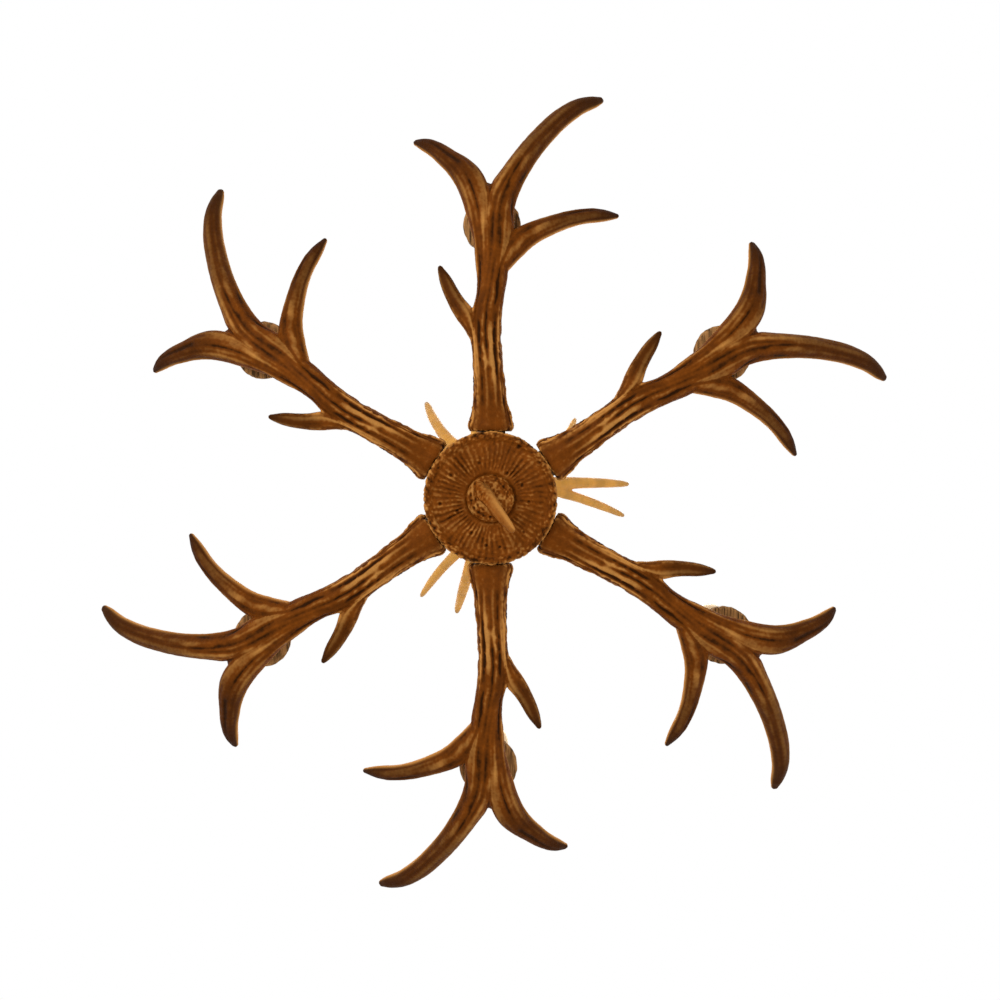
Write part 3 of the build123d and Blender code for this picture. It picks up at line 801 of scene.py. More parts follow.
def carve_horns(mesh, line, sizes, seed, plain, rugged=None):
    """Cuts long grooves along the grain and a bark where rugged; returns the carving as 0 to 1."""
    points = read_points(mesh)
    normals = read_normals(mesh)
    fine, broad = streaks(points, line, (fine_grain, broad_grain), grain_reach, seed)
    fine, broad = np.clip(fine, -2.2, 2.2), np.clip(broad, -2, 2)
    present = step(0.35, 0.65, cloud(points, 24 * mm, seed + 5))
    creases = step(1.0, 2.3, -fine) * (0.15 + 0.85 * present)
    grain = cloud(points, 2.0 * mm, seed + 11) - 0.5
    lift = sizes.groove_depth * plain * (0.3 * fine + 0.3 * broad - 0.7 * creases + 0.2 * grain)
    carving = 0.54 + plain * (0.2 * fine + 0.08 * broad - 0.28 * creases) + 0.18 * grain
    if rugged is not None:
        bark, knobs = streaks(points, line, (3.4 * mm, 6 * mm), 4 * mm, seed + 20)
        ridges = 1 - np.clip(np.abs(bark), 0, 1)
        furrows = step(0.5, 1.9, np.abs(knobs))
        lift += rugged * sizes.pearl_height * (0.8 * ridges + 0.3 * knobs - 0.5 * furrows - 0.3)
        carving += rugged * (0.4 * ridges - 0.3 * furrows + 0.16 * fine - 0.1)
    write_points(mesh, points + normals * lift[:, None])
    return np.clip(carving, 0, 1)


def arm_mesh(sizes):
    """One carved arm in its own frame, with its foot's face at the origin."""
    horns = []
    bare = []
    for sections, bare_from in arm_horns:
        start = Vector((1, 0, 0)) if sections is beam_sections else None
        horns.append(horn_lines(sections, up, start))
        share = horns[-1][1][:, 7]
        bare.append(np.clip((share - bare_from) / max(1 - bare_from, 0.01), 0, 1))
    mesh = melt(horns, sizes.carve_grid, rounds=9)
    line = np.vstack([with_taper(middle) for _, middle in horns])
    points = read_points(mesh)
    normals = read_normals(mesh)
    weights = grain_flow(points, line)[1]
    tip = weights @ np.concatenate(bare).astype(np.float32)
    out = points[:, 0]
    sideways = 1 - np.abs(normals[:, 2])
    beyond_foot = step(14 * mm, 34 * mm, out)
    near_hub = 1 - step(60 * mm, 105 * mm, out)
    patchy = step(0.3, 0.6, cloud(points, 16 * mm, 13))
    bark = step(40 * mm, 62 * mm, out) * (1 - step(80 * mm, 112 * mm, out)) * (0.3 + 0.5 * patchy)
    rugged = np.maximum(bark, near_hub * step(0.22, 0.6, sideways) * (0.6 + 0.4 * patchy))
    plain = np.clip(beyond_foot + step(0.3, 0.7, sideways), 0.2, 1) * (1 - 0.5 * tip)
    carving = carve_horns(mesh, line, sizes, 3, plain, rugged)
    points = read_points(mesh)
    seat = seat_level - foot_level
    over_seat = np.hypot(points[:, 0] - cup_out, points[:, 1]) < seat_radius
    points[:, 2] = np.where(over_seat, np.minimum(points[:, 2], seat), points[:, 2])
    points[:, 0] = np.maximum(points[:, 0], 0)
    write_points(mesh, points)
    far = step(85 * mm, 200 * mm, out)
    # Painted highlight along the side edges near the hub, kept to the ridges, where it also stands for
    # dry-brushed wear.
    edge = (1 - 0.8 * far) * np.clip((sideways - 0.12 - 0.4 * far) / 0.25, 0, 1)
    # Painted highlight on the edges that face the hub.
    painted_highlight_towards_hub = step(0.15, 0.65, -normals[:, 0]) * step(0.4, 0.85, sideways) * 0.9
    # Painted shade on the edges that face away from the hub.
    painted_shade_far_side = step(0.35, 0.85, normals[:, 0]) * step(0.5, 0.9, sideways) * 0.6
    # Painted shade on the tine tips and on the far sides.
    dark = np.maximum(0.55 * step(0, 0.4, tip) + 0.38 * step(0.55, 1, tip), painted_shade_far_side)
    # Lighter on the rubbed ridges, together with the painted highlights on the side edges and the hub-facing
    # edges.
    worn = np.maximum(0.9 * edge * step(0.4, 0.85, carving), painted_highlight_towards_hub * beyond_foot)
    keep_looks(mesh, carve=carving, tip=dark, worn=worn)
    return mesh


def crown_sections(direction, root, widths, turn, reach, height, bend_turn):
    """Stations of a crown tine that leaves its root and curves up and out to its tip."""

    def at(angle, out, rise):
        return Vector((out * cos(radians(angle)), out * sin(radians(angle)), rise))

    start = at(direction, *root[:2])
    bend = at(bend_turn, *crown_bend)
    end = at(turn, reach, height)
    rows = []
    for number, width in enumerate(widths):
        t = number / (len(widths) - 1)
        place = start * (1 - t) ** 2 + bend * (2 * t * (1 - t)) + end * t**2
        rows.append((*place, width, width))
    return rows


def crown_mesh(sizes, number, direction, main_tine, side_tines):
    """One pale crown antler, on the hub's cover plate."""
    level = Vector((cos(radians(direction)), sin(radians(direction)), 0))
    stem = [(*(level * reach + up * height), width, width) for reach, height, width in crown_stem]
    beam = stem + crown_sections(direction, crown_stem[-1], crown_beam_widths, *main_tine)[1:]
    horns = [horn_lines(beam, level, up)]
    for root, tine in zip(crown_side_roots, side_tines):
        horns.append(horn_lines(crown_sections(direction, root, crown_tine_widths, *tine), level))
    mesh = melt(horns, sizes.carve_grid)
    line = np.vstack([with_taper(middle) for _, middle in horns])
    bare = np.concatenate([step(0.9, 1, middle[:, 7]) for _, middle in horns]).astype(np.float32)
    tip = grain_flow(read_points(mesh), line)[1] @ bare
    plain = np.full(len(mesh.vertices), 0.3, np.float32)
    carving = carve_horns(mesh, line, sizes, 31 + 7 * number, plain)
    trim(mesh, np.maximum)
    keep_looks(mesh, 0.1 * number, carve=0.3 + 0.6 * carving, tip=0.6 * tip)
    mesh.transform(Matrix.Translation((0, 0, plate_top)))
    return mesh


def disc_mesh(sizes):
    """The base disc: irregular ribs that run outwards, pits, and a pearled rim."""
    radius = disc_radius / mm
    top = disc_high.z / mm
    low = disc_low.z / mm
    field = boss_high.z / mm - 1.0
    rim = (top - low) / 2
    middle = radius - rim
    bore = stem_bore - 0.05
    corners = [(bore, boss_high.z / mm), (boss_radius / mm + 0.1, boss_high.z / mm)]
    corners += [(boss_radius / mm + 2, field), (36, field - 0.6), (middle - rim, field + 1)]
    corners += [(middle - rim * 0.5, low + 0.9)]
    for angle in range(-90, 91, 15):
        corners.append((middle + rim * cos(radians(angle)), low + rim + rim * sin(radians(angle))))
    corners += [(bore, top), (bore, boss_high.z / mm)]
    mesh, points, normals = turned(corners, 0.9 * mm, 400, "disc")
    reach = np.hypot(points[:, 0], points[:, 1])
    around = np.arctan2(points[:, 1], points[:, 0])
    below = step(-0.1, -0.6, normals[:, 2])
    drift = 1.0 * (cloud(points, 20 * mm, 45) - 0.5) + 0.25 * (cloud(points, 6 * mm, 47) - 0.5)
    wave = 0.5 + 0.5 * np.cos(groove_count * around + tau * drift)
    strength = 0.5 + 0.5 * step(0.2, 0.7, cloud(points, 15 * mm, 41))
    strength *= 0.5 + 0.8 * cloud(np.stack((around, around * 0, around * 0), 1), 0.09, 43)
    length = step(24 * mm, 29 * mm, reach) * (1 - 0.9 * step(47 * mm, 55 * mm, reach))
    ribs = wave**2 * strength * length
    rim_share = step(middle * mm - 5 * mm, middle * mm - 0.5 * mm, reach)
    pearls = cells(points, 4.6 * mm, 51) * 0.6 + cells(points, 2.4 * mm, 55) * 0.4
    pits = np.zeros(len(points))
    rings = np.zeros(len(points))
    for x, y, size in disc_pits:
        apart = np.hypot(points[:, 0] - x * mm, points[:, 1] - y * mm) / (size * mm)
        pits = np.maximum(pits, np.exp(-(apart**2)))
        rings = np.maximum(rings, np.exp(-(((apart - 1.5) / 0.45) ** 2)))
    grain = cloud(points, 1.8 * mm, 61) - 0.5
    swell = cloud(points, 9 * mm, 63) - 0.5
    lift = below * (-sizes.rib_depth * ribs * (1 - rim_share) - 1.1 * mm * pits + 0.4 * mm * rings)
    lift += rim_share * 2.8 * mm * (pearls - 0.6) + 0.5 * mm * grain * below + 0.9 * mm * swell * below
    inside = reach > boss_radius + 0.5 * mm
    carved = points + normals * (lift * inside)[:, None]
    shrink = np.minimum(1, disc_radius / np.maximum(np.hypot(carved[:, 0], carved[:, 1]), 1e-6))
    carved[:, :2] *= shrink[:, None]
    write_points(mesh, carved)
    crests = (1 - wave) ** 1.5 * strength * length
    colour = 0.54 - (0.36 * ribs - 0.1 * crests) * (1 - rim_share) - 0.5 * pits + 0.2 * rings
    colour += 0.4 * grain + 0.4 * swell + rim_share * ((pearls - 0.42) * 1.6 - 0.14)
    # Painted shade on the underside in the groove round the boss.
    painted_shade_round_boss = 1 - step(boss_radius + 1 * mm, boss_radius + 3 * mm, reach)
    colour -= 0.1 * painted_shade_round_boss * below
    edge = step(disc_radius - 3 * mm, disc_radius - 0.6 * mm, np.hypot(carved[:, 0], carved[:, 1]))
    keep_looks(mesh, carve=np.clip(colour, 0, 1), worn=0.9 * edge * step(0.2, 0.6, pearls), tip=0)
    return mesh


def boss_mesh():
    """The boss in the middle of the disc, with pits down one side and painted shade on its flank."""
    radius = boss_radius / mm
    top = boss_high.z / mm
    low = boss_low.z / mm
    corners = [(0.0, top), (radius, top), (radius, low + 5), (radius - 0.8, low + 2.4)]
    corners += [(radius - 2.4, low + 0.8), (radius - 4.6, low + 0.1), (0.0, low)]
    mesh, points, normals = turned(corners, 0.55 * mm, 220, "boss")
    below = step(-0.1, -0.6, normals[:, 2])
    pits = np.zeros(len(points))
    for x, y, size in boss_pits:
        long_way = Vector((-y, x)).normalized()
        dx, dy = points[:, 0] - x * mm, points[:, 1] - y * mm
        along = (dx * long_way.x + dy * long_way.y) / (1.5 * size * mm)
        across = (dy * long_way.x - dx * long_way.y) / (0.75 * size * mm)
        pits = np.maximum(pits, np.exp(-(along**2) - across**2))
    grain = cloud(points, 1.6 * mm, 71) - 0.5
    swell = cloud(points, 6 * mm, 73) - 0.5
    lift = below * (-1.3 * mm * pits + 0.45 * mm * grain + 1.0 * mm * swell) - 0.2 * mm * below
    carved = points + normals * lift[:, None]
    carved[:, 2] = np.maximum(carved[:, 2], boss_low.z)
    write_points(mesh, carved)
    # Painted shade on the faces that turn sideways or up, on the boss's flank.
    painted_shade_flank = step(-0.3, 0.35, normals[:, 2] + 0.15)
    colour = 0.66 - 0.7 * pits + 0.8 * grain + 0.8 * swell - 0.2 * painted_shade_flank
    keep_looks(mesh, carve=np.clip(colour, 0, 1), worn=0, tip=0)
    return mesh


def finial_mesh(sizes):
    """The short tine that stands out of the boss, with its root spread over it."""
    rows = [(x, y, -drop, width, width) for x, y, drop, width in finial_sections]
    foot = [(x, y, -drop, width, width * 0.85) for x, y, drop, width in finial_foot]
    horns = [horn_lines(rows, up), horn_lines(foot, Vector((1, 0, 0)), -up)]
    mesh = melt(horns, finial_grid)
    points = trim(mesh, np.minimum)
    line = with_taper(horns[0][1])
    plain = np.full(len(points), 0.4, np.float32)
    carving = carve_horns(mesh, line, sizes, 83, plain)
    points = trim(mesh, np.minimum)
    # Painted highlight on the side that faces one fixed direction, stronger towards the tip.
    painted_highlight_side = read_normals(mesh) @ np.array((0.66, -0.62, -0.42), np.float32)
    tip_share = step(8 * mm, 34 * mm, -points[:, 2])
    root_grain = cloud(points, 2.2 * mm, 87) - 0.5
    colour = 0.06 + 0.55 * carving + 0.4 * tip_share + 1.3 * root_grain * (1 - tip_share)
    worn = 0.85 * step(0.35, 0.95, painted_highlight_side) * (0.3 + 0.7 * tip_share)
    keep_looks(mesh, carve=colour, worn=worn, tip=0)
    mesh.transform(Matrix.Translation((0, 0, boss_low.z)))
    return mesh


def cup_mesh(number):
    """A candle cup on its seat: a turned foot under a round slice with a bark edge."""
    corners = ((4.95, 0), (9, 0), (9, 8), (9.6, 11), (11, 14), (13.5, 16.6), (15, 17), (24.6, 17))
    corners += ((26.2, 17.5), (27.1, 18.8), (27.2, 20), (27.2, 23.6), (26.8, 24.6), (26, 25), (21.6, 25))
    corners += ((21, 24.5), (21, 22.8), (20.7, 22.5), (4.95, 22.5), (4.95, 0))
    mesh, points, normals = turned(corners, 1.1 * mm, 120, "cup")
    reach = np.hypot(points[:, 0], points[:, 1])
    shift = points + 0.3 * number
    drawn = shift * np.array((1, 0.14, 1), np.float32)
    fibres = cloud(drawn, 2.0 * mm, 91) - 0.5
    bark = step(25.5 * mm, 27 * mm, reach)
    under = step(-0.3, -0.9, normals[:, 2]) * step(12 * mm, 15 * mm, reach)
    lumps = cloud(shift, 4 * mm, 93) - 0.5
    lift = under * (0.55 * mm * fibres + 0.4 * mm * lumps) + bark * 1.2 * mm * (lumps - 0.25)
    write_points(mesh, points + normals * lift[:, None])
    keep_looks(mesh, 0.3 * number)
    return mesh


def sleeve_mesh(number):
    """An ivory candle tube with a softened lip and a few short runs down its side."""
    low = cup_floor
    high = low + sleeve_length
    corners = ((11.1, low), (12.4, low), (12.4, high - 1.2), (12.1, high - 0.3), (11.7, high))
    corners += ((11.3, high - 0.2), (11.1, high - 0.8), (11.1, low))
    mesh, points, normals = turned(corners, 1.6 * mm, 72, "sleeve")
    around = np.arctan2(points[:, 1], points[:, 0])
    outer = np.hypot(points[:, 0], points[:, 1]) > 11.9 * mm
    drop = high * mm - points[:, 2]
    draw = np.random.default_rng(17 + number)
    runs = np.zeros(len(points))
    for _ in range(6):
        side = (around - draw.uniform(-pi, pi) + pi) % tau - pi
        length = draw.uniform(8, 34) * mm
        width = draw.uniform(0.13, 0.24)
        bead = 0.6 + 0.6 * np.exp(-(((drop - length) / (3 * mm)) ** 2))
        run = np.exp(-((side / width) ** 2)) * (1 - step(length, length + 3 * mm, drop)) * bead
        runs = np.maximum(runs, run)
    write_points(mesh, points + normals * (outer * runs * 0.9 * mm)[:, None])
    keep_looks(mesh, 0.3 * number)
    return mesh


def glass_mesh():
    """A flame bulb of thin glass, closed at its neck."""
    shape = ((0, 6.8), (0.06, 7.6), (0.14, 11.5), (0.22, 15.6), (0.31, 17.3), (0.38, 17.1), (0.5, 14.8))
    shape += ((0.62, 11), (0.74, 7.2), (0.85, 4.3), (0.93, 2.3), (0.98, 1.1))
    length = glass_high - glass_low
    heights = np.array([share for share, _ in shape])
    radii = np.array([radius for _, radius in shape])
    outside = [(0.0, glass_low)]
    for share in np.linspace(0, 0.98, 34):
        outside.append((float(np.interp(share, heights, radii)), glass_low + share * length))
    outside.append((0.0, glass_high - 0.2))
    inside = []
    for radius, height in outside:
        inside.append((max(radius - 1, 0.0), min(max(height, glass_low + 1), glass_high - 4)))
    shell = spun(half_section(*outside), 40)
    inner = spun(half_section(*inside[:-4], (0.0, glass_high - 4)), 40)
    bmesh.ops.reverse_faces(inner, faces=inner.faces)
    joined(shell, inner)
    for _ in range(3):
        bmesh.ops.smooth_vert(shell, verts=shell.verts, factor=0.4, use_axis_x=True, use_axis_y=True)
    return own_mesh(shell, "glass")


def wire_loop(points, hint):
    """A bmesh of a closed round wire through points."""
    places = []
    for number, point in enumerate(points):
        ahead = points[(number + 1) % len(points)]
        behind = points[number - 1]
        places.append(ring_place(point, (ahead - behind).normalized(), hint, link_wire, link_wire))
    bm = bmesh.new()
    stack_rings(bm, places, wire_segments, closed=True)
    bmesh.ops.recalc_face_normals(bm, faces=bm.faces)
    return bm


def link_mesh(node):
    """A smooth chain link in the place of a CAD one."""
    low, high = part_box(node)
    flat_in_x = high.x - low.x < high.y - low.y
    across = Vector((0, 1, 0)) if flat_in_x else Vector((1, 0, 0))
    middle = Vector((0, 0, (low.z + high.z) / 2))
    straight = (high.z - low.z) / 2 - link_wire / 2 - link_bow
    points = []
    for turn in range(0, 360, 12):
        lean = radians(turn + 6)
        rise = link_bow * sin(lean) + (straight if turn < 180 else -straight)
        points.append(middle + across * (link_bow * cos(lean)) + up * rise)
    return own_mesh(wire_loop(points, across.cross(up)), "link")


def eyed_collar(section, height, name):
    """A turned collar with a round eye of wire that stands in the XZ plane at a height."""
    points = []
    for turn in range(0, 360, 10):
        lean = radians(turn)
        points.append(Vector((link_bow * cos(lean), 0, height + link_bow * sin(lean))))
    collar = spun(half_section(*section), 64)
    joined(collar, wire_loop(points, Vector((0, 1, 0))))
    return own_mesh(collar, name)


def copied_node(node, width):
    """A copy of a CAD node's mesh, merged and with softened edges."""
    bm = bmesh.new()
    bm.from_mesh(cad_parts[node].data)
    bmesh.ops.remove_doubles(bm, verts=bm.verts, dist=0.002 * mm)
    flat = [edge for edge in bm.edges if edge.is_manifold and edge.calc_face_angle() < radians(1)]
    bmesh.ops.dissolve_limit(bm, angle_limit=radians(1), verts=bm.verts, edges=flat)
    sharp = [edge for edge in bm.edges if edge.is_manifold and edge.calc_face_angle() > radians(35)]
    bmesh.ops.bevel(
        bm, geom=sharp, offset=width, offset_type="OFFSET", segments=2, profile=0.5,
        affect="EDGES", clamp_overlap=True, material=-1,
    )
    bmesh.ops.triangulate(bm, faces=[face for face in bm.faces if len(face.verts) > 4])
    return own_mesh(bm, node)


def canopy_mesh():
    """The ceiling canopy: a thin dished cover with a rolled edge and a step near its middle."""
    radius = (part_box("canopy")[1].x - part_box("canopy")[0].x) / 2 / mm
    depth = -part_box("canopy")[0].z / mm
    outer = [(5.2, -depth), (19, -depth), (21.5, -depth + 0.5), (24, -depth + 1.7)]
    for turn in range(0, 91, 6):
        lean = radians(turn)
        outer.append((24 + (radius - 24) * sin(lean), -depth + 1.9 + (depth - 5.4) * (1 - cos(lean))))
    outer += [(radius, -0.8), (radius - 0.8, 0)]
    inner = [(max(x - 1.4, 5.2), min(z + 1.4, 0)) for x, z in reversed(outer)]
    profile = half_section(*outer, *inner[1:-3], (5.2, -depth + 1.4), (5.2, -depth))
    return own_mesh(spun(profile, 128), "canopy")


def canopy_loop_mesh():
    """The screw collar under the canopy, with its eye."""
    low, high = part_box("canopy_loop")
    top = high.z / mm
    collar = ((5.2, top), (14, top), (14, top - 2.2), (13.2, top - 3), (10.4, top - 3.4), (10, top - 5))
    collar += ((10, top - 11.5), (9, top - 13.4), (6, top - 14.4), (0, top - 14.6))
    collar += ((0, top - 10), (5.2, top - 10), (5.2, top))
    return eyed_collar(collar, low.z + eye_reach, "canopy_loop")


def top_loop_mesh():
    """The collar on the stem's upper end, with its eye."""
    low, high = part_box("top_loop")
    base = low.z / mm
    collar = ((stem_bore, base), (10, base), (10, base + 9.5), (9, base + 11.4), (6, base + 12.4))
    collar += ((0, base + 12.6), (0, base + 8.3), (stem_bore, base + 8.3), (stem_bore, base))
    return eyed_collar(collar, high.z - eye_reach, "top_loop")


def column_mesh(sizes):
    """The turned column round the stem, stained and grooved like the arms."""
    low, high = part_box("column")
    base, top = low.z / mm, high.z / mm
    middle = (base + top) / 2
    corners = ((stem_bore, base), (18, base), (18, base + 7), (17.4, base + 9), (15.4, base + 11))
    corners += ((14, base + 13.5), (13, base + 18), (12.6, middle - 40), (12.3, middle - 13))
    corners += ((13.4, middle - 9), (15.4, middle - 5), (16.5, middle - 1.5))
    corners += ((16.5, middle + 1.5), (15.4, middle + 5), (13.4, middle + 9))
    corners += ((12.3, middle + 13), (12.6, middle + 40), (13, top - 18), (14, top - 13.5), (14.6, top - 11))
    corners += ((16.3, top - 8), (16.5, top - 6), (16.5, top), (stem_bore, top), (stem_bore, base))
    mesh, points, _ = turned(corners, 1.2 * mm, 96, "column")
    line = [(0, 0, height * mm, 0, 0, 1, 14 * mm, 0.0) for height in range(int(base), int(top), 4)]
    line = with_taper(np.array(line, np.float32))
    plain = np.where(np.hypot(*points[:, :2].T) > 8 * mm, 0.45, 0).astype(np.float32)
    inside = (points[:, 2] > low.z + mm) & (points[:, 2] < high.z - mm)
    carving = carve_horns(mesh, line, sizes, 101, plain * inside)
    keep_looks(mesh, carve=carving, worn=0, tip=0)
    return mesh


class CHANDELIER_OT_arms(bpy.types.Operator):
    """Carve one antler arm and place it six times round the hub"""

    bl_idname = "chandelier.arms"
    bl_label = "Antler arms"

    def execute(self, context):
        colours = context.scene.chandelier_colours
        finish = stained_horn("antler_stain", *horn_colours(colours))
        first = arm_mesh(context.scene.chandelier_sizes)
        for number, direction in enumerate(arm_directions, 1):
            mesh = first.copy()
            mesh.transform(arm_place(direction))
            seat_piece(
                mesh, f"arm_{number}", "chandelier", [f"antler_arm_{number}"], finish
            )
        bpy.data.meshes.remove(first)
        return {"FINISHED"}


class CHANDELIER_OT_base(bpy.types.Operator):
    """Carve the base disc, its boss and the finial tine"""

    bl_idname = "chandelier.base"
    bl_label = "Base disc and finial"

    def execute(self, context):
        sizes = context.scene.chandelier_sizes
        colours = context.scene.chandelier_colours
        stain, rubbed_and_highlight, deep = horn_colours(colours)
        burr = stained_horn("burr_stain", scaled(stain, 1.08), rubbed_and_highlight, scaled(deep, 0.9))
        tine = stained_horn("tine_stain_highlit", scaled(stain, 1.35), scaled(rubbed_and_highlight, 0.9), scaled(stain, 0.4))
        seat_piece(disc_mesh(sizes), "carved_disc", "chandelier", ["base_disc"], burr)
        seat_piece(boss_mesh(), "carved_boss", "chandelier", ["base_boss"], burr)
        seat_piece(finial_mesh(sizes), "finial", "chandelier", ["finial_tine"], tine)
        return {"FINISHED"}


class CHANDELIER_OT_crown(bpy.types.Operator):
    """Carve the pale crown antlers that stand on the hub"""

    bl_idname = "chandelier.crown"
    bl_label = "Crown antlers"

    def execute(self, context):
        finish = crown_finish(context.scene.chandelier_colours)
        for number, antler in enumerate(crown_antlers, 1):
            mesh = crown_mesh(context.scene.chandelier_sizes, number, *antler)
            seat_piece(
                mesh, f"crown_{number}", "chandelier", [f"crown_antler_{number}"], finish
            )
        return {"FINISHED"}


class CHANDELIER_OT_candles(bpy.types.Operator):
    """Make the candle cups, candle tubes and bulbs"""

    bl_idname = "chandelier.candles"
    bl_label = "Candles"

    def execute(self, context):
        colours = context.scene.chandelier_colours
        grain, wax, frost = slice_finish(colours), wax_finish(colours), bulb_finish()
        for number, direction in enumerate(arm_directions, 1):
            place = candle_place(direction)
            pieces = (
                (cup_mesh(number), "cup", "candle_cup", "chandelier", "slice_wood", grain),
                (sleeve_mesh(number), "sleeve", "candle_sleeve", "chandelier", "candle_ivory", wax),
                (glass_mesh(), "bulb", "bulb_glass", f"bulb_{number}", "bulb_glass", frost),
            )
            for mesh, name, node, body, slot, finish in pieces:
                mesh.transform(place)
                seat_piece(mesh, f"{name}_{number}", body, [f"{node}_{number}"], finish, 50)
        return {"FINISHED"}


class CHANDELIER_OT_hanging(bpy.types.Operator):
    """Make the canopy, chain, loops and column"""

    bl_idname = "chandelier.hanging"
    bl_label = "Canopy, chain and column"

    def execute(self, context):
        sizes = context.scene.chandelier_sizes
        colours = context.scene.chandelier_colours
        bronze = bronze_finish(colours)
        dressed = stained_horn("column_stain", *horn_colours(colours))
        seat_piece(canopy_mesh(), "canopy_shell", "ceiling_mount", ["canopy"], bronze, 40)
        seat_piece(canopy_loop_mesh(), "canopy_eye", "ceiling_mount", ["canopy_loop"], bronze, 40)
        seat_piece(top_loop_mesh(), "stem_eye", "chandelier", ["top_loop"], bronze, 40)
        for number in range(1, 6):
            node = f"chain_link_{number}"
            seat_piece(link_mesh(node), f"link_{number}", f"link_{number}", [node], bronze)
        cap = copied_node("column_cap", 0.5 * mm)
        seat_piece(cap, "cap", "chandelier", ["column_cap"], bronze, 30)
        seat_piece(column_mesh(sizes), "turned_column", "chandelier", ["column"], dressed, 50)
        return {"FINISHED"}


class CHANDELIER_OT_fittings(bpy.types.Operator):
    """Dress the hub, screws, lampholders and ceiling bar"""

    bl_idname = "chandelier.fittings"
    bl_label = "Fittings"

    def execute(self, context):
        bronze = bronze_finish(context.scene.chandelier_colours)
        steel = metal_finish("zinc_plate", (0.55, 0.54, 0.5), 0.34, (1, 1, 0.1))
        brass = metal_finish("bulb_brass", (0.72, 0.52, 0.24), 0.3, (1, 1, 0.3))
        black = moulded_finish("holder_black", (0.03, 0.03, 0.03))
        fittings = [
            ("hub_drum", "hub", "chandelier", "bronze_paint", bronze, 0.5),
            ("hub_cover_plate", "hub_cover", "chandelier", "bronze_paint", bronze, 0.4),
            ("ceiling_crossbar", "crossbar", "ceiling_mount", "zinc_steel", steel, 0.3),
            ("canopy_nipple", "nipple", "ceiling_mount", "zinc_steel", steel, 0.3),
            ("nipple_locknut", "locknut", "ceiling_mount", "zinc_steel", steel, 0.3),
            ("stem_tube", "stem", "chandelier", "zinc_steel", steel, 0.2),
            ("arm_bolts", "bolts", "chandelier", "zinc_steel", steel, 0.3),
            ("crown_screws", "screws", "chandelier", "zinc_steel", steel, 0.3),
            ("base_nut", "stem_nut", "chandelier", "zinc_steel", steel, 0.3),
            ("candle_nipples", "nipples", "chandelier", "zinc_steel", steel, 0.2),
            ("lampholders", "holders", "chandelier", "holder_plastic", black, 0.3),
        ]
        for number in range(1, 7):
            name = f"bulb_base_{number}"
            fittings.append((name, f"bulb_cap_{number}", f"bulb_{number}", "bulb_brass", brass, 0.2))
        for node, name, body, slot, finish, width in fittings:
            seat_piece(copied_node(node, width * mm), name, body, [node], finish, 30)
        return {"FINISHED"}


lamp_target = Vector((0, 0, -0.5))
lamps = (  # name, place, size, power, colour
    ("key", (-1.3, -1.1, -2.2), 1.4, 26, (1, 0.97, 0.93)),
    ("fill", (1.6, 1.0, -1.6), 1.6, 9, (1, 0.98, 0.96)),
    ("top", (0.0, 0.0, 0.9), 1.0, 16, (1, 0.86, 0.66)),
)
floor_size = 60.0
room_light = 0.55
camera_lens = 64
camera_shift = (-0.0305, -0.0664)
camera_side = (36 * mm, -58 * mm)
camera_datum = 4.9 * mm  # above the disc's lowest point
camera_drop = 1.6  # below the datum


def aimed_lamp(name, place, size, power, colour):
    """A soft square lamp that faces the chandelier."""
    lamp = bpy.data.lights.new(name, "AREA")
    lamp.shape = "SQUARE"
    lamp.size = size
    lamp.energy = power
    lamp.color = colour
    carrier = bpy.data.objects.new(name, lamp)
    bpy.context.scene.collection.objects.link(carrier)
    carrier.location = place
    carrier.rotation_euler = (lamp_target - Vector(place)).to_track_quat("-Z", "Y").to_euler()


def white_to_the_eye(tree, light, output):
    """Joins a light shader to the output, but plain white wherever the camera or a reflection sees it."""
    path = tree.nodes.new("ShaderNodeLightPath")
    seen = path.outputs["Is Camera Ray"]
    for name in ("Is Glossy Ray", "Is Transmission Ray"):
        either = tree.nodes.new("ShaderNodeMath")
        either.operation = "MAXIMUM"
        tree.links.new(seen, either.inputs[0])
        tree.links.new(path.outputs[name], either.inputs[1])
        seen = either.outputs[0]
    white = tree.nodes.new("ShaderNodeBackground")
    white.inputs["Color"].default_value = (1, 1, 1, 1)
    white.inputs["Strength"].default_value = 1.0
    choice = tree.nodes.new("ShaderNodeMixShader")
    tree.links.new(seen, choice.inputs[0])
    tree.links.new(light, choice.inputs[1])
    tree.links.new(white.outputs[0], choice.inputs[2])
    tree.links.new(choice.outputs[0], output)


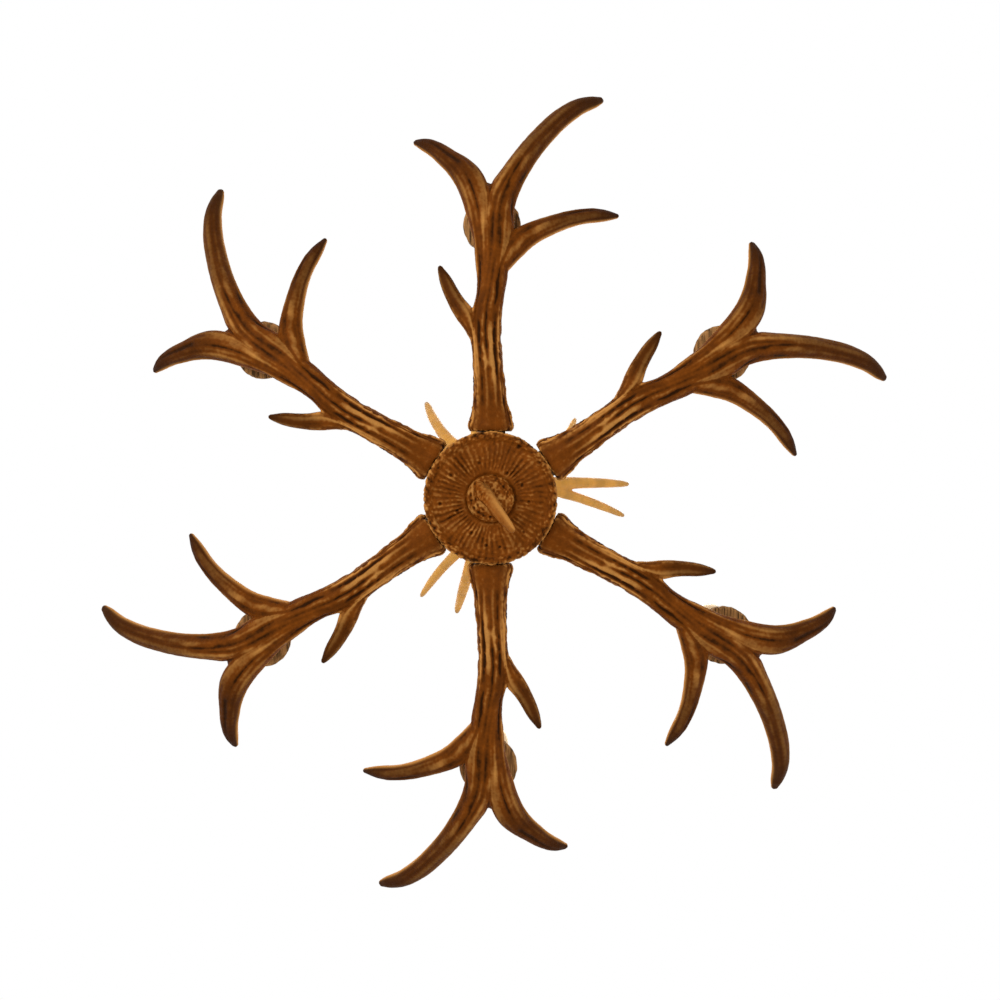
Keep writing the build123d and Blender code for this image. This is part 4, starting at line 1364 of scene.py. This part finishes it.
class CHANDELIER_OT_stage(bpy.types.Operator):
    """Lay the floor, light the room and set the camera below the chandelier"""

    bl_idname = "chandelier.stage"
    bl_label = "Stage"

    def execute(self, context):
        scene = context.scene
        bm = bmesh.new()
        place = Matrix.Translation((0, 0, -scene.chandelier_sizes.floor_drop))
        bmesh.ops.create_grid(bm, x_segments=8, y_segments=8, size=floor_size, matrix=place)
        floor_mesh = finished(bm, "floor", smooth=False)
        floor = bpy.data.objects.new("floor", floor_mesh)
        scene.collection.objects.link(floor)
        keep_looks(floor_mesh)
        paint = Finish("floor_paint", 0.8, specular=0.2)
        clouds = paint.noise(0.6, 3)
        paint.set("Base Color", paint.ramp(clouds, (0.2, tint(236, 235, 232)), (0.8, tint(244, 243, 241))))
        floor_mesh.materials.append(paint.material)
        world = bpy.data.worlds.new("room")
        scene.world = world
        world.use_nodes = True
        tree = world.node_tree
        light = tree.nodes["Background"]
        light.inputs["Color"].default_value = (1, 0.985, 0.96, 1)
        light.inputs["Strength"].default_value = room_light
        white_to_the_eye(tree, light.outputs[0], tree.nodes["World Output"].inputs["Surface"])
        for lamp in lamps:
            aimed_lamp(*lamp)
        camera = bpy.data.cameras.new("camera")
        camera.sensor_width = 36
        camera.lens = camera_lens
        camera.shift_x, camera.shift_y = camera_shift
        camera.clip_end = 30
        carrier = bpy.data.objects.new("camera", camera)
        scene.collection.objects.link(carrier)
        carrier.location = (*camera_side, disc_low.z + camera_datum - camera_drop)
        carrier.rotation_euler = (pi, 0, 0)
        scene.camera = carrier
        scene.view_settings.view_transform = "Standard"
        return {"FINISHED"}


class CHANDELIER_PT_panel(bpy.types.Panel):
    """The chandelier's pieces and sizes"""

    bl_idname = "CHANDELIER_PT_panel"
    bl_label = "Chandelier"
    bl_space_type = "VIEW_3D"
    bl_region_type = "UI"
    bl_category = "Chandelier"

    def draw(self, context):
        layout = self.layout
        for operator in operators:
            layout.operator(operator.bl_idname)
        for group in (context.scene.chandelier_sizes, context.scene.chandelier_colours):
            for name in group.bl_rna.properties.keys():
                if name not in ("rna_type", "name"):
                    layout.prop(group, name)


operators = (
    CHANDELIER_OT_arms,
    CHANDELIER_OT_base,
    CHANDELIER_OT_crown,
    CHANDELIER_OT_candles,
    CHANDELIER_OT_hanging,
    CHANDELIER_OT_fittings,
    CHANDELIER_OT_stage,
)
classes = (ChandelierSizes, ChandelierColours, *operators, CHANDELIER_PT_panel)


def register():
    """Registers the classes and hangs the sizes and colours on the scene."""
    for cls in classes:
        bpy.utils.register_class(cls)
    bpy.types.Scene.chandelier_sizes = PointerProperty(type=ChandelierSizes)
    bpy.types.Scene.chandelier_colours = PointerProperty(type=ChandelierColours)


def unregister():
    """Takes everything that register added away again."""
    del bpy.types.Scene.chandelier_colours
    del bpy.types.Scene.chandelier_sizes
    for cls in reversed(classes):
        bpy.utils.unregister_class(cls)


def main():
    """Makes every piece in order."""
    register()
    bpy.ops.chandelier.arms()
    bpy.ops.chandelier.base()
    bpy.ops.chandelier.crown()
    bpy.ops.chandelier.candles()
    bpy.ops.chandelier.hanging()
    bpy.ops.chandelier.fittings()
    bpy.ops.chandelier.stage()


if __name__ == "__main__":
    main()
